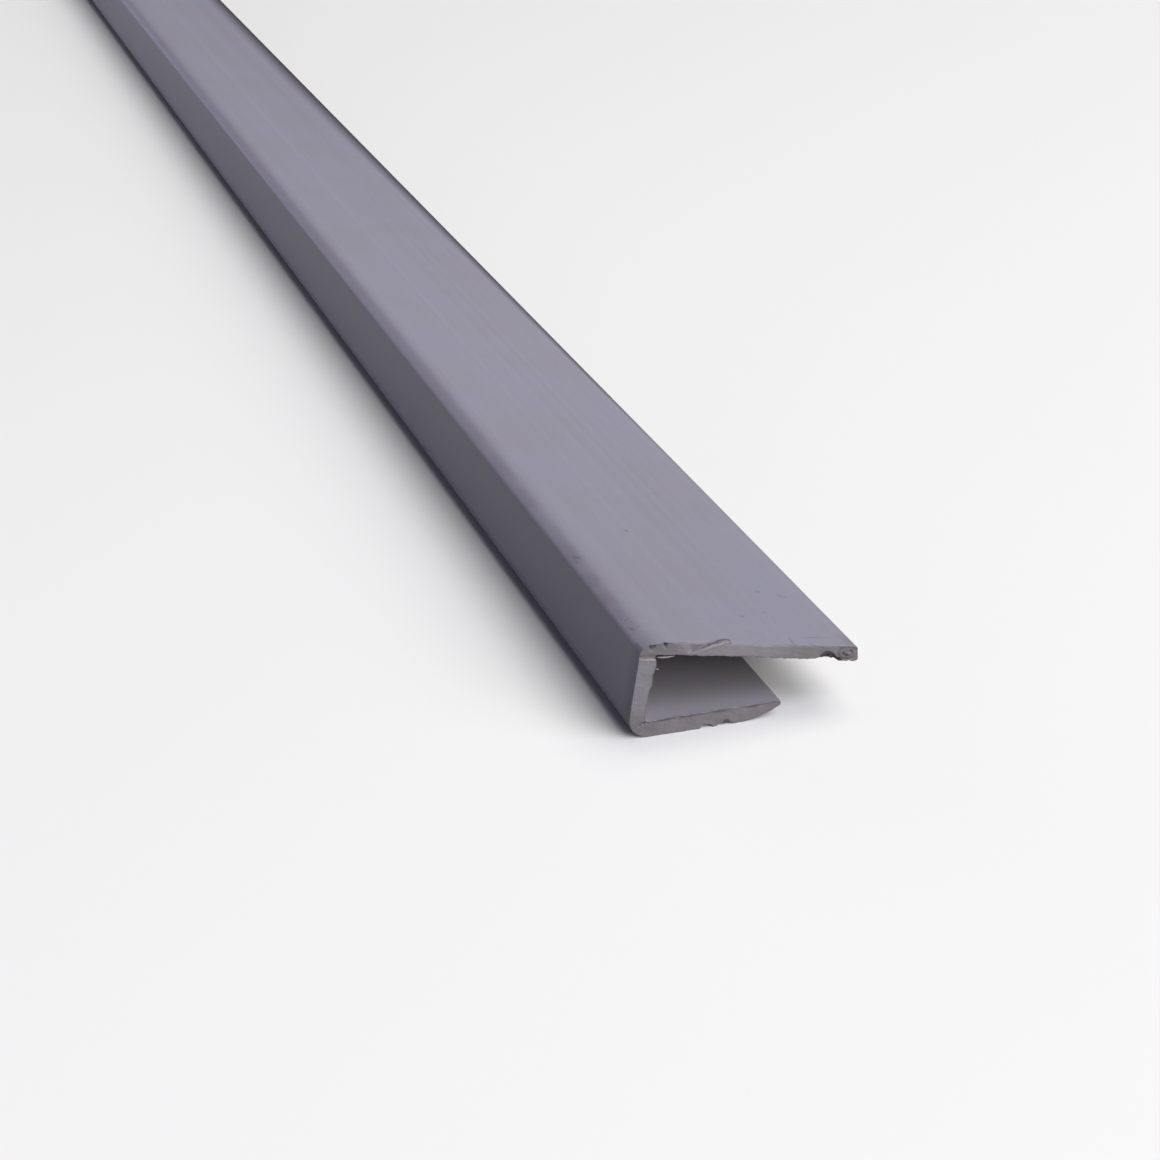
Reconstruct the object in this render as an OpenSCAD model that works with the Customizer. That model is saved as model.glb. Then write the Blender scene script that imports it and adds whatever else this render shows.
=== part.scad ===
// Panel edge trim: one length of rigid PVC, extruded with a J-shaped section.
// A wide flange is fixed behind or over the panel, a web caps the panel's edge,
// and a shorter lip slopes in towards the flange, so that its nose pinches the
// panel in the slot. The trim lies as it would on a level floor, on the flat of
// its lip, with its length along Y and the flange's free edge towards +X.

/* [Stock] */
// Length of the piece, one of the lengths that such trim is sold in
stock_len = 1000; // [100:10:3000]

/* [Flange] */
// Width of the flange, from the web's outer face to the free edge
flange_w = 25; // [20:0.5:40]
// Thickness of the flange
flange_t = 1.4; // [1:0.1:2.5]
// Rounding of the two long corners of the free edge
flange_edge_r = 0.3; // [0.1:0.05:0.45]

/* [Web] */
// Height of the web, from the sharp outer corner below to the flange's outer face
web_h = 11.4; // [9:0.1:20]
// Thickness of the web
web_t = 1.8; // [1.2:0.1:3]
// Outer corner between the web and the flange: radius of its tight bend by the web
flange_bend_r = 0.6; // [0.3:0.05:1]
// Radius of the crown that eases from the bend into the flange
flange_crown_r = 4.6; // [2:0.1:6]
// Outer rounding between the web and the lip
lip_corner_r = 2.2; // [0.5:0.1:3]
// Fillet in the two inner corners of the slot
slot_fillet_r = 0.3; // [0.1:0.05:0.6]

/* [Lip] */
// Reach of the lip, measured square to the web's outer face
lip_reach = 17.4; // [14:0.2:19]
// Thickness of the lip
lip_t = 1.8; // [1.2:0.1:2.6]
// Angle by which the lip slopes in towards the flange
lip_slope = 10; // [4:0.5:12]
// Length of the rounded nose that leads the panel into the slot
nose_run = 5.4; // [3:0.2:8]
// Thickness that the nose leaves at the lip's tip
tip_land = 0.4; // [0.2:0.05:1]

/* [Hidden] */
$fn = 96;
trim_colour = "#9795a3";
// Distance by which a cutting shape runs past the surface that it cuts
past = 1;
// Lip in its own frame: x along it from the sharp outer corner, y square to it
lip_len = lip_reach / cos(lip_slope);
nose_start = lip_len - nose_run;
nose_rise = lip_t - tip_land;
nose_r = (pow(nose_run, 2) + pow(nose_rise, 2)) / (2 * nose_rise);
// Slot between the lip and the flange, at the web's inner face
slot_floor = lip_t / cos(lip_slope) + web_t * tan(lip_slope);
slot_ceiling = web_h - flange_t;
// Corner angles, outside and in the slot, of the web with its two legs
flange_corner = 90;
lip_corner = 90 - lip_slope;
// Direction, across and up, in which the bend hands over to the crown. The sides
// of a 3-4-5 triangle keep both arcs truly tangent. Then the centres' places.
turn_across = 0.6;
turn_up = 0.8;
bend_v = web_h - flange_bend_r * turn_up - flange_crown_r * (1 - turn_up);
crown_v = web_h - flange_crown_r;
crown_u = flange_bend_r * (1 - turn_across) + flange_crown_r * turn_across;
// Furthest reach of the lying section to each side of the sharp outer corner
lying_min = lip_corner_r / tan(lip_corner / 2) - lip_corner_r;
lying_max = (flange_w - flange_edge_r) * cos(lip_slope)
    + (web_h - flange_edge_r) * sin(lip_slope) + flange_edge_r;

// Wedge between a corner and an arc of radius r that touches both its sides.
// One side runs along +X from the corner, the other is turned up by the angle,
// and the wedge runs out past both sides. Cut away it rounds the corner, and
// added in a hollow corner it is a fillet.
module corner_wedge(r, angle, out) {
    run = r / tan(angle / 2);
    difference() {
        polygon([
            [-out, -out],
            [run, -out],
            [run, r],
            [run * cos(angle) - out * sin(angle), run * sin(angle) + out * cos(angle)]
        ]);
        translate([run, r]) circle(r);
    }
}

// The section with sharp corners, the web upright and the flange on top
module sharp_section() {
    polygon([
        [0, 0],
        [lip_len * cos(lip_slope), lip_len * sin(lip_slope)],
        [lip_len * cos(lip_slope) - lip_t * sin(lip_slope), lip_len * sin(lip_slope) + lip_t * cos(lip_slope)],
        [web_t, slot_floor],
        [web_t, slot_ceiling],
        [flange_w, slot_ceiling],
        [flange_w, web_h],
        [0, web_h]
    ]);
}

// Fillets where the web's inner face meets the lip and the flange
module slot_fillets() {
    translate([web_t, slot_floor]) rotate(lip_slope)
        corner_wedge(slot_fillet_r, lip_corner, slot_fillet_r);
    translate([web_t, slot_ceiling]) rotate(-90)
        corner_wedge(slot_fillet_r, flange_corner, slot_fillet_r);
}

// What the corner between the web and the flange takes off outside. The crown
// counts from the ray through both centres, and the bend takes over below it.
module flange_corner_relief() {
    far = 2 * flange_crown_r;
    difference() {
        translate([-past, bend_v]) square([crown_u + past, web_h - bend_v + past]);
        translate([flange_bend_r, bend_v]) circle(flange_bend_r);
        translate([crown_u, crown_v]) intersection() {
            circle(flange_crown_r);
            polygon([
                [0, 0],
                [past, 0],
                [past, far],
                [-far * turn_across, far * turn_up]
            ]);
        }
    }
}

// What the roundings take off outside, at the web and at the flange's free edge
module outer_rounds() {
    rotate(lip_slope) corner_wedge(lip_corner_r, lip_corner, past);
    flange_corner_relief();
    translate([flange_w, web_h]) rotate(180) corner_wedge(flange_edge_r, 90, past);
    translate([flange_w, slot_ceiling]) rotate(90) corner_wedge(flange_edge_r, 90, past);
}

// What the convex nose takes off the lip's underside
module nose_relief() {
    rotate(lip_slope) difference() {
        translate([nose_start, -past]) square([nose_run + past, lip_t + past]);
        translate([nose_start, nose_r]) circle(nose_r);
    }
}

module section() {
    difference() {
        union() {
            sharp_section();
            slot_fillets();
        }
        outer_rounds();
        nose_relief();
    }
}

module edge_trim() {
    color(trim_colour)
        translate([-(lying_min + lying_max) / 2, stock_len / 2, 0])
        rotate([90, 0, 0])
        linear_extrude(stock_len)
        rotate(-lip_slope) section();
}

edge_trim();
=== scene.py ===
# %% [markdown]
# # A length of PVC edge trim
#
# The object is one piece of stock: a metre of rigid PVC edge trim, extruded with a J-shaped
# section. A wide flange lies on top, a web closes the left side, and a shorter lip slopes in
# below, so the trim rests on the flat of its lip and the flange tips down to the right. The far
# end is a plain saw cut. The near end was sawn by hand and left rough, with chips, a lifted
# shaving and a ragged lower edge.
#
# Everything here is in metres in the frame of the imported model. Sizes of the section and of the
# damage are written in millimetres, because that is how such trim is drawn, and one factor turns
# them to metres.

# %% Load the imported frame
import math

import bmesh
import bpy
import numpy as np
from mathutils import Matrix, Vector, noise


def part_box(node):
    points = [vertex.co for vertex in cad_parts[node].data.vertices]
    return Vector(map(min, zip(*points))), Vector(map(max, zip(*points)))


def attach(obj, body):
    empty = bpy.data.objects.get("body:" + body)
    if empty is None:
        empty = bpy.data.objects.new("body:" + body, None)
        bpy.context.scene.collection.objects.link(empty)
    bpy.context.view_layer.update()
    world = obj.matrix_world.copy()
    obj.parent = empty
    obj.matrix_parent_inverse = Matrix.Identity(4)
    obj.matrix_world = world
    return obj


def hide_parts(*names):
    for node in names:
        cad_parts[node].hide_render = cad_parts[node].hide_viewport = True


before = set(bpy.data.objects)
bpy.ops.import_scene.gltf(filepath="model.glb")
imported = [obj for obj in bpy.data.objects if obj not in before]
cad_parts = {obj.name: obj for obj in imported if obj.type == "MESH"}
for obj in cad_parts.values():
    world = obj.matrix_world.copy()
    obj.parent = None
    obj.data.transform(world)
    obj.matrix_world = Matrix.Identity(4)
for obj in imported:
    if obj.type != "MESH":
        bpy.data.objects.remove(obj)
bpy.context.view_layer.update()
trim_low, trim_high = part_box("edge_trim")
MM = 0.001
near_y = trim_low.y
trim_length = trim_high.y - trim_low.y

# %% [markdown]
# ## The section
#
# An extruded trim is one outline pushed through a die, so the outline is the design. It could be
# read from the imported mesh, but that mesh is coarse: its rounded corners have only a few flats,
# which show from close by. The outline is drawn again here from the section's own sizes, with
# smooth arcs.

# %% Sizes of the section, in millimetres and degrees
FLANGE_W = 25.0
FLANGE_T = 1.4
FLANGE_EDGE_R = 0.3
WEB_H = 11.4
WEB_T = 1.8
FLANGE_BEND_R = 0.6
FLANGE_CROWN_R = 4.6
TURN_ACROSS = 0.6
TURN_UP = 0.8
LIP_CORNER_R = 2.2
SLOT_FILLET_R = 0.3
LIP_REACH = 17.4
LIP_T = 1.8
LIP_SLOPE = 10.0
NOSE_RUN = 5.4
TIP_LAND = 0.4

slope_cos = math.cos(math.radians(LIP_SLOPE))
slope_sin = math.sin(math.radians(LIP_SLOPE))
slope_tan = slope_sin / slope_cos
lip_len = LIP_REACH / slope_cos
nose_start = lip_len - NOSE_RUN
nose_rise = LIP_T - TIP_LAND
nose_r = (NOSE_RUN**2 + nose_rise**2) / (2 * nose_rise)
slot_floor = LIP_T / slope_cos + WEB_T * slope_sin / slope_cos
slot_ceiling = WEB_H - FLANGE_T
half_corner = math.tan(math.radians(90.0 - LIP_SLOPE) / 2)
lip_corner_run = LIP_CORNER_R / half_corner
slot_fillet_run = SLOT_FILLET_R / half_corner
lying_min = lip_corner_run - LIP_CORNER_R
edge_u = FLANGE_W - FLANGE_EDGE_R
edge_v = WEB_H - FLANGE_EDGE_R
lying_max = edge_u * slope_cos + edge_v * slope_sin + FLANGE_EDGE_R
lying_middle = (lying_min + lying_max) / 2


def lie(u, v):
    """Turns a point of the upright section to where it lies, with the lip flat on the floor."""
    return np.array([u * slope_cos + v * slope_sin - lying_middle, v * slope_cos - u * slope_sin])


def upright(x, z):
    """The way back: where a point of the lying section is when the web stands upright."""
    x = x + lying_middle
    return x * slope_cos - z * slope_sin, x * slope_sin + z * slope_cos


print("nose radius mm:", round(nose_r, 2), " slot height mm:", round(slot_ceiling - slot_floor, 2))

# %% [markdown]
# ## Two paths round the section
#
# The J is a strip of nearly even thickness. Its outer side is followed from the lip's tip, under
# the lip, up the web and along the top of the flange, and its inner side is followed at the same
# pace. Straight rows between the two paths then fill the cut face with a fine, even grid. A face
# filled as one many-sided polygon would be quicker, but it has no points inside, and the saw
# marks and torn places of the cut need points to move.

# %% Arcs and straights
GRID_MM = 0.115
LEAST_STEPS = 4
EDGE_STEPS = 6
WEB_SIDE = 180.0 - LIP_SLOPE
FLANGE_SIDE = 90.0 - LIP_SLOPE
EDGE_SIDE = -LIP_SLOPE
BEND_TURN = math.degrees(math.atan2(TURN_UP, TURN_ACROSS))


def arc(centre, radius, start, end, steps):
    """Points on an arc, both ends included, in the lying section's millimetres."""
    angles = np.radians(np.linspace(start, end, steps + 1))
    return np.stack([centre[0] + radius * np.cos(angles), centre[1] + radius * np.sin(angles)], 1)


def straight(start, end, steps):
    """Evenly spaced points from start to end, both included."""
    return np.linspace(start, end, steps + 1)


def steps_for(length):
    """How many grid steps a stretch of the section gets."""
    return max(LEAST_STEPS, round(length / GRID_MM))


def joined_path(stretches):
    """One path from stretches that meet end to end, each shared point kept once."""
    return np.concatenate([stretches[0]] + [s[1:] for s in stretches[1:]])


print("the tight bend over the web turns by", round(BEND_TURN, 1), "degrees")

# %% Places and steps of each stretch
slot_corner_x = WEB_T * slope_cos + slot_floor * slope_sin - lying_middle
nose_x = nose_start - lying_middle
tip_x = lip_len - lying_middle
lip_centre = (lip_corner_run - lying_middle, LIP_CORNER_R)
slot_low_centre = (slot_corner_x + slot_fillet_run, LIP_T + SLOT_FILLET_R)
bend_v = WEB_H - FLANGE_BEND_R * TURN_UP - FLANGE_CROWN_R * (1 - TURN_UP)
crown_u = FLANGE_BEND_R * (1 - TURN_ACROSS) + FLANGE_CROWN_R * TURN_ACROSS
bend_centre = lie(FLANGE_BEND_R, bend_v)
crown_centre = lie(crown_u, WEB_H - FLANGE_CROWN_R)
slot_high_centre = lie(WEB_T + SLOT_FILLET_R, slot_ceiling - SLOT_FILLET_R)
edge_top_centre = lie(edge_u, edge_v)
edge_low_centre = lie(edge_u, slot_ceiling + FLANGE_EDGE_R)
nose_sweep = math.degrees(math.asin(NOSE_RUN / nose_r))

nose_steps = steps_for(NOSE_RUN)
lip_steps = steps_for(nose_x - lip_centre[0])
lip_corner_steps = steps_for(LIP_CORNER_R * math.radians(270.0 - WEB_SIDE))
web_steps = steps_for(bend_v - lip_corner_run)
bend_steps = steps_for(FLANGE_BEND_R * math.radians(BEND_TURN)) + 2
crown_steps = steps_for(FLANGE_CROWN_R * math.radians(90.0 - BEND_TURN))
flange_steps = steps_for(FLANGE_W - crown_u - FLANGE_EDGE_R)
print("steps along lip, web and flange:", lip_steps, web_steps, flange_steps)

# %% Outer and inner path
outer_nose = arc((nose_x, nose_r), nose_r, 270.0 + nose_sweep, 270.0, nose_steps)
outer_lip_corner = arc(lip_centre, LIP_CORNER_R, 270.0, WEB_SIDE, lip_corner_steps)
outer_bend = arc(bend_centre, FLANGE_BEND_R, WEB_SIDE, WEB_SIDE - BEND_TURN, bend_steps)
outer_crown = arc(crown_centre, FLANGE_CROWN_R, WEB_SIDE - BEND_TURN, FLANGE_SIDE, crown_steps)
outer_edge = arc(edge_top_centre, FLANGE_EDGE_R, FLANGE_SIDE, EDGE_SIDE, EDGE_STEPS)
outer_path = joined_path([
    outer_nose,
    straight(outer_nose[-1], outer_lip_corner[0], lip_steps),
    outer_lip_corner,
    straight(outer_lip_corner[-1], outer_bend[0], web_steps),
    outer_bend,
    outer_crown,
    straight(outer_crown[-1], outer_edge[0], flange_steps),
    outer_edge,
])

inner_lip_corner = arc(slot_low_centre, SLOT_FILLET_R, 270.0, WEB_SIDE, lip_corner_steps)
inner_flange_corner = arc(slot_high_centre, SLOT_FILLET_R, WEB_SIDE, FLANGE_SIDE, bend_steps)
crown_end = lie(crown_u, slot_ceiling)
inner_edge = arc(edge_low_centre, FLANGE_EDGE_R, FLANGE_SIDE + 180.0, EDGE_SIDE + 360.0, EDGE_STEPS)
inner_path = joined_path([
    straight((tip_x, LIP_T), (nose_x, LIP_T), nose_steps),
    straight((nose_x, LIP_T), inner_lip_corner[0], lip_steps),
    inner_lip_corner,
    straight(inner_lip_corner[-1], inner_flange_corner[0], web_steps),
    inner_flange_corner,
    straight(inner_flange_corner[-1], crown_end, crown_steps),
    straight(crown_end, inner_edge[0], flange_steps),
    inner_edge,
])
print("stations along the section:", len(outer_path))
print("section in mm:", outer_path.min(0).round(3), outer_path.max(0).round(3))

# %% [markdown]
# ## The cut face as a grid
#
# The rows between the paths make the face that the saw left. It is built flat at the near end,
# facing along the length, so that extruding it gives sides that face outwards. Each point also
# keeps two numbers, its station along the section and its share of the way across, because the
# damage is modelled later and has to know which side of the section a point is on.

# %% Keep numbers at the points of a mesh


def write_numbers(mesh, name, values):
    """Stores one number for each point of a mesh under a name, which materials can read too."""
    attribute = mesh.attributes.get(name) or mesh.attributes.new(name, "FLOAT", "POINT")
    attribute.data.foreach_set("value", np.ascontiguousarray(values, np.float32))


def read_numbers(mesh, name):
    """The numbers that a mesh keeps for its points under a name."""
    values = np.empty(len(mesh.vertices), np.float32)
    mesh.attributes[name].data.foreach_get("value", values)
    return values


def read_places(mesh):
    """Where the points of a mesh are, in metres, with a row for each."""
    flat = np.empty(len(mesh.vertices) * 3, np.float32)
    mesh.vertices.foreach_get("co", flat)
    return flat.reshape(-1, 3)


def write_places(mesh, places):
    """Moves the points of a mesh to new places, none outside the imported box."""
    kept_in = np.clip(places, np.array(trim_low), np.array(trim_high))
    mesh.vertices.foreach_set("co", kept_in.astype(np.float32).ravel())
    mesh.update()


def new_object(name, data):
    """An object for a mesh, a lamp or a camera, put into the scene."""
    obj = bpy.data.objects.new(name, data)
    bpy.context.scene.collection.objects.link(obj)
    return obj


print("numbers are kept as float attributes, one for each point")

# %% Build the cut face
GRID_ACROSS = 14


def cut_face_mesh():
    """The section as a flat grid of quads at the near end, its normals towards +Y."""
    share = np.linspace(0.0, 1.0, GRID_ACROSS + 1)[None, :, None]
    rows = outer_path[:, None, :] * (1 - share) + inner_path[:, None, :] * share
    flat = rows.reshape(-1, 2)
    points = np.stack([flat[:, 0] * MM, np.full(len(flat), near_y), flat[:, 1] * MM], 1)
    stations = np.arange(len(outer_path))
    station, step = np.meshgrid(stations[:-1], np.arange(GRID_ACROSS), indexing="ij")
    corner = (station * (GRID_ACROSS + 1) + step).ravel()
    quads = np.stack([corner, corner + GRID_ACROSS + 1, corner + GRID_ACROSS + 2, corner + 1], 1)
    mesh = bpy.data.meshes.new("cut_face")
    mesh.from_pydata(points.tolist(), [], quads.tolist())
    mesh.update()
    if mesh.polygons[0].normal.y < 0:
        mesh.flip_normals()
    write_numbers(mesh, "station", np.repeat(stations, GRID_ACROSS + 1))
    write_numbers(mesh, "across", np.tile(share.ravel(), len(outer_path)))
    return mesh


cut_face = new_object("cut_face", cut_face_mesh())
print("quads in the cut face:", len(cut_face.data.polygons))

# %% [markdown]
# ## One function that adds a node
#
# Materials and Geometry Nodes are both trees of nodes, and both are written with one small
# function. A value that is itself a socket becomes a link, a node stands for the first of its
# outputs that is in use, and any other value is set on the socket.

# %% Add a node and connect it


def connect(tree, node, inputs):
    """Links or sets inputs of a node, given by name or number."""
    for key, value in inputs.items():
        if isinstance(value, bpy.types.Node):
            value = next(output for output in value.outputs if output.enabled)
        if isinstance(value, bpy.types.NodeSocket):
            tree.links.new(value, node.inputs[key])
        else:
            node.inputs[key].default_value = value


def add_node(tree, kind, inputs=None, **settings):
    """A node of a kind, with its settings and its inputs."""
    node = tree.nodes.new(kind)
    for name, value in settings.items():
        setattr(node, name, value)
    connect(tree, node, inputs or {})
    return node


print("node kinds are set by name, such as ShaderNodeMath")

# %% [markdown]
# ## Colours
#
# Colours are picked off a screen as sRGB hex values, and the renderer works in linear light, so
# one function turns the first into the second. The trim is a cool, slightly violet grey. Its
# extruded skin wanders a little between a cooler and a warmer grey. Where the saw went through,
# the same plastic is rough and has picked up dust, so it is darker, warmer and more patchy.

# %% Turn a hex colour to linear
SKIN_COOL = "#9796A4"
SKIN_WARM = "#97949F"
SKIN_RUBBED = "#8A8491"
SKIN_SLOT_GREY = "#9D999F"
SKIN_SCUFF = "#6F6B76"
SAWN_WARM = "#827C80"
SAWN_NEUTRAL = "#7A777C"
SAWN_COOL = "#85828A"
SAWN_RUBBED = "#908C93"
# pale torn plastic, and the colour of painted highlights
SAWN_TORN_AND_HIGHLIGHT = "#A6A2A8"
# dark colour for grime and for painted shade on the cut
GRIME_AND_SHADE = "#3F3A40"
EDGE_SHADE_COLOUR = "#2B282D"


def linear(hex_colour):
    """A linear RGBA colour from an sRGB hex value."""
    parts = [int(hex_colour.lstrip("#")[i:i + 2], 16) / 255 for i in (0, 2, 4)]
    return [p / 12.92 if p <= 0.04045 else ((p + 0.055) / 1.055) ** 2.4 for p in parts] + [1.0]


print("skin, linear:", [round(c, 3) for c in linear(SKIN_COOL)])

# %% [markdown]
# ## Where a pattern sits on the trim
#
# Patterns such as die lines and saw marks follow the section, and the section lies turned by the
# slope of the lip. A Mapping node turns Object coordinates back upright and into millimetres, so
# X runs across the flange from the web's face, Y runs along the trim from the near cut, and Z
# runs up the web. Every pattern size can then be given in real millimetres, and a zone of the
# section is a product of soft fades, each given on one of these axes.

# %% Places, zones and coats of colour


def upright_mm(tree):
    """A place in millimetres across from the web, along from the cut and up, and its parts."""
    place = add_node(tree, "ShaderNodeMapping", {
        "Vector": add_node(tree, "ShaderNodeTexCoord").outputs["Object"],
        "Location": (lying_middle * slope_cos, -near_y / MM, lying_middle * slope_sin),
        "Rotation": (0.0, math.radians(-LIP_SLOPE), 0.0),
        "Scale": (1 / MM, 1 / MM, 1 / MM),
    }, vector_type="POINT")
    return place, add_node(tree, "ShaderNodeSeparateXYZ", {"Vector": place}).outputs


def product(tree, *values):
    """All the values multiplied, such as masks that have to hold together."""
    result = values[0]
    for value in values[1:]:
        result = add_node(tree, "ShaderNodeMath", {0: result, 1: value}, operation="MULTIPLY")
    return result


def zone(tree, parts, fades):
    """A mask for a zone of the section. Each fade is an axis, where it starts and where it is full."""
    return product(tree, *[add_node(tree, "ShaderNodeMapRange", {
        "Value": parts[axis], "From Min": start, "From Max": full,
    }, interpolation_type="SMOOTHSTEP") for axis, start, full in fades])


def along_trim(tree, parts, places, values):
    """A value that goes from one to another between two places along the trim."""
    return add_node(tree, "ShaderNodeMapRange", {
        "Value": parts["Y"], "From Min": places[0], "From Max": places[1],
        "To Min": values[0], "To Max": values[1],
    })


def painted(tree, colour, *coats):
    """A colour with other colours laid over it in turn, each one where its mask is bright."""
    for mask, coat in coats:
        colour = add_node(tree, "ShaderNodeMix", {
            0: mask, 6: colour, 7: linear(coat),
        }, data_type="RGBA")
    return colour


print("the lying section is turned back upright by", LIP_SLOPE, "degrees")

# %% [markdown]
# ## Rigid PVC
#
# Skin and cut are the same plastic, so they share its index of refraction and the strength of
# its reflection, which is weaker than the usual one because the surface is dusty all over. Each
# gets its own colour, its own roughness and a fine relief. The relief is too small to model, so
# a Bump node bends the light instead.

# %% What both finishes share
PVC_IOR = 1.53
PVC_SPECULAR = 0.2
BUMP_STRENGTH = 0.5


def rigid_pvc(name):
    """A new material for rigid PVC, with the tree and the shader to finish it with."""
    material = bpy.data.materials.new(name)
    material.use_nodes = True
    tree = material.node_tree
    shader = tree.nodes["Principled BSDF"]
    connect(tree, shader, {"IOR": PVC_IOR, "Specular IOR Level": PVC_SPECULAR})
    return material, tree, shader


def finish_surface(tree, shader, colour, roughness, height, relief_mm):
    """Gives the shader its colour, its roughness, and a relief of so many millimetres."""
    bump = add_node(tree, "ShaderNodeBump", {
        "Height": height, "Strength": BUMP_STRENGTH, "Distance": relief_mm * MM,
    })
    connect(tree, shader, {"Base Color": colour, "Roughness": roughness, "Normal": bump})


print("rigid PVC has an IOR of", PVC_IOR)

# %% [markdown]
# ## Extruded rigid PVC
#
# The skin of an extruded profile is smooth and satin: it takes its surface from a polished die
# and from the cooling bath. What gives it away is direction. Fine die lines run the whole length
# without a break, while the colour drifts slowly in blotches. So the noise for the lines is
# stretched along the trim some hundreds of times, and the noise for blotches is left round. The
# tone is also painted darker at the near end and lighter further along: painted light.

# %% Die lines, grain and tone of the skin
DIE_LINE_MM = 0.9
DIE_LINE_LENGTH_MM = 500.0
GRAIN_MM = 0.28
RELIEF_SPREAD = (0.6, 1.4)
RELIEF_SHADE = (0.95, 1.05)
BLOTCH_MM = 14.0
BLOTCH_SPREAD = (0.35, 0.65)
# painted light: the skin's tone is scaled from darker at the near end to lighter further along
PAINTED_LIGHT_ALONG = (0.965, 1.075)
PAINTED_LIGHT_REACH_MM = (5.0, 110.0)


def skin_relief(tree, place):
    """The height of the skin: die lines, and a fine grain on them."""
    stretched = add_node(tree, "ShaderNodeMapping", {
        "Vector": place, "Scale": (1 / DIE_LINE_MM, 1 / DIE_LINE_LENGTH_MM, 1 / DIE_LINE_MM),
    })
    lines = add_node(tree, "ShaderNodeTexNoise", {"Vector": stretched, "Scale": 1.0, "Detail": 3.0})
    fine = add_node(tree, "ShaderNodeTexNoise", {"Vector": place, "Scale": 1 / GRAIN_MM, "Detail": 2.0})
    return add_node(tree, "ShaderNodeMath", {0: lines, 1: fine}, operation="ADD")


def skin_tone(tree, place, parts, relief):
    """A cool grey with warmer blotches, shaded by the relief, with painted light that is darker at the near
    end.
    """
    blotch = add_node(tree, "ShaderNodeTexNoise", {
        "Vector": place, "Scale": 1 / BLOTCH_MM, "Detail": 4.0,
    })
    drift = add_node(tree, "ShaderNodeMapRange", {
        "Value": blotch, "From Min": BLOTCH_SPREAD[0], "From Max": BLOTCH_SPREAD[1],
    })
    shade = add_node(tree, "ShaderNodeMapRange", {
        "Value": relief, "From Min": RELIEF_SPREAD[0], "From Max": RELIEF_SPREAD[1],
        "To Min": RELIEF_SHADE[0], "To Max": RELIEF_SHADE[1],
    })
    painted_light_along = along_trim(tree, parts, PAINTED_LIGHT_REACH_MM, PAINTED_LIGHT_ALONG)
    return add_node(tree, "ShaderNodeVectorMath", {
        0: painted(tree, linear(SKIN_COOL), (drift, SKIN_WARM)),
        1: product(tree, shade, painted_light_along),
    }, operation="MULTIPLY")


print("die lines are", DIE_LINE_MM, "mm apart")

# %% [markdown]
# ## Marks on the skin
#
# The photographed end has been handled: a few rubs on the rounded corner, specks of dirt, a thin
# scratch near the free edge. Each one is a place on the flange, a size and a turn, and the
# material loops over them. They could be painted on an image, but a handful of soft ellipses
# stays sharp at any distance and needs no file. Further along, specks are scattered at random.

# %% Specks and marks
# across, along, half length, half width, turn in degrees, how dark
SKIN_MARKS = [
    (0.74, 7.62, 0.38, 0.16, 10, 0.75),
    (0.42, 8.1, 0.2, 0.12, 60, 0.5),
    (0.68, 5.27, 0.2, 0.55, 15, 0.8),
    (0.45, 5.8, 0.25, 0.2, -40, 0.5),
    (1.33, 5.25, 0.35, 0.12, 15, 0.65),
    (0.77, 26, 0.35, 0.7, 20, 0.6),
    (0.5, 24.8, 0.2, 0.4, -30, 0.4),
    (9.42, 33.9, 0.3, 0.35, 0, 0.75),
    (19.1, 15.6, 0.45, 0.4, 30, 0.4),
    (21.5, 14.4, 0.7, 0.4, -20, 0.25),
    (17.4, 9.4, 0.4, 0.3, 30, 0.25),
    (14.3, 8.1, 0.4, 0.3, 60, 0.35),
    (13.6, 3.8, 0.7, 0.14, -50, 0.25),
    (17.55, 1.2, 0.18, 1.3, -5, 0.45),
    (20.4, 2.45, 1.5, 0.1, 4, 0.7),
    (22.2, 2.6, 0.6, 0.09, 2, 0.35),
]
MARK_RAGGED_MM = 0.35
MARK_FADE = (1.7, 0.9)
SPECK_CELL_MM = 9.0
SPECK_MM = 0.16
SPECK_ABOVE = 0.72


def skin_rubs(tree, place):
    """How strongly the skin is rubbed: a speck in some cells, and each mark in its place."""
    cells = add_node(tree, "ShaderNodeTexVoronoi", {"Vector": place, "Scale": 1 / SPECK_CELL_MM})
    chance = add_node(tree, "ShaderNodeSeparateXYZ", {"Vector": cells.outputs["Color"]})
    chosen = add_node(tree, "ShaderNodeMath", {0: chance, 1: SPECK_ABOVE}, operation="GREATER_THAN")
    dot = add_node(tree, "ShaderNodeMapRange", {
        "Value": cells.outputs["Distance"], "From Min": SPECK_MM / SPECK_CELL_MM, "From Max": 0.0,
    })
    rubs = product(tree, dot, chosen)
    ragged = add_node(tree, "ShaderNodeTexNoise", {
        "Vector": place, "Scale": 1 / MARK_RAGGED_MM, "Detail": 3.0,
    })
    for mark_across, mark_along, half_length, half_width, turn, dark in SKIN_MARKS:
        spot = add_node(tree, "ShaderNodeMapping", {
            "Vector": place,
            "Location": (mark_across, mark_along, WEB_H),
            "Rotation": (0.0, 0.0, math.radians(turn)),
            "Scale": (half_length, half_width, FLANGE_T),
        }, vector_type="TEXTURE")
        reach = add_node(tree, "ShaderNodeVectorMath", {0: spot}, operation="LENGTH")
        uneven = add_node(tree, "ShaderNodeMath", {0: reach, 1: ragged}, operation="ADD")
        mark = add_node(tree, "ShaderNodeMapRange", {
            "Value": uneven, "From Min": MARK_FADE[0], "From Max": MARK_FADE[1], "To Max": dark,
        })
        rubs = add_node(tree, "ShaderNodeMath", {0: rubs, 1: mark}, operation="MAXIMUM")
    return rubs


print("marks on the skin:", len(SKIN_MARKS))
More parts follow.
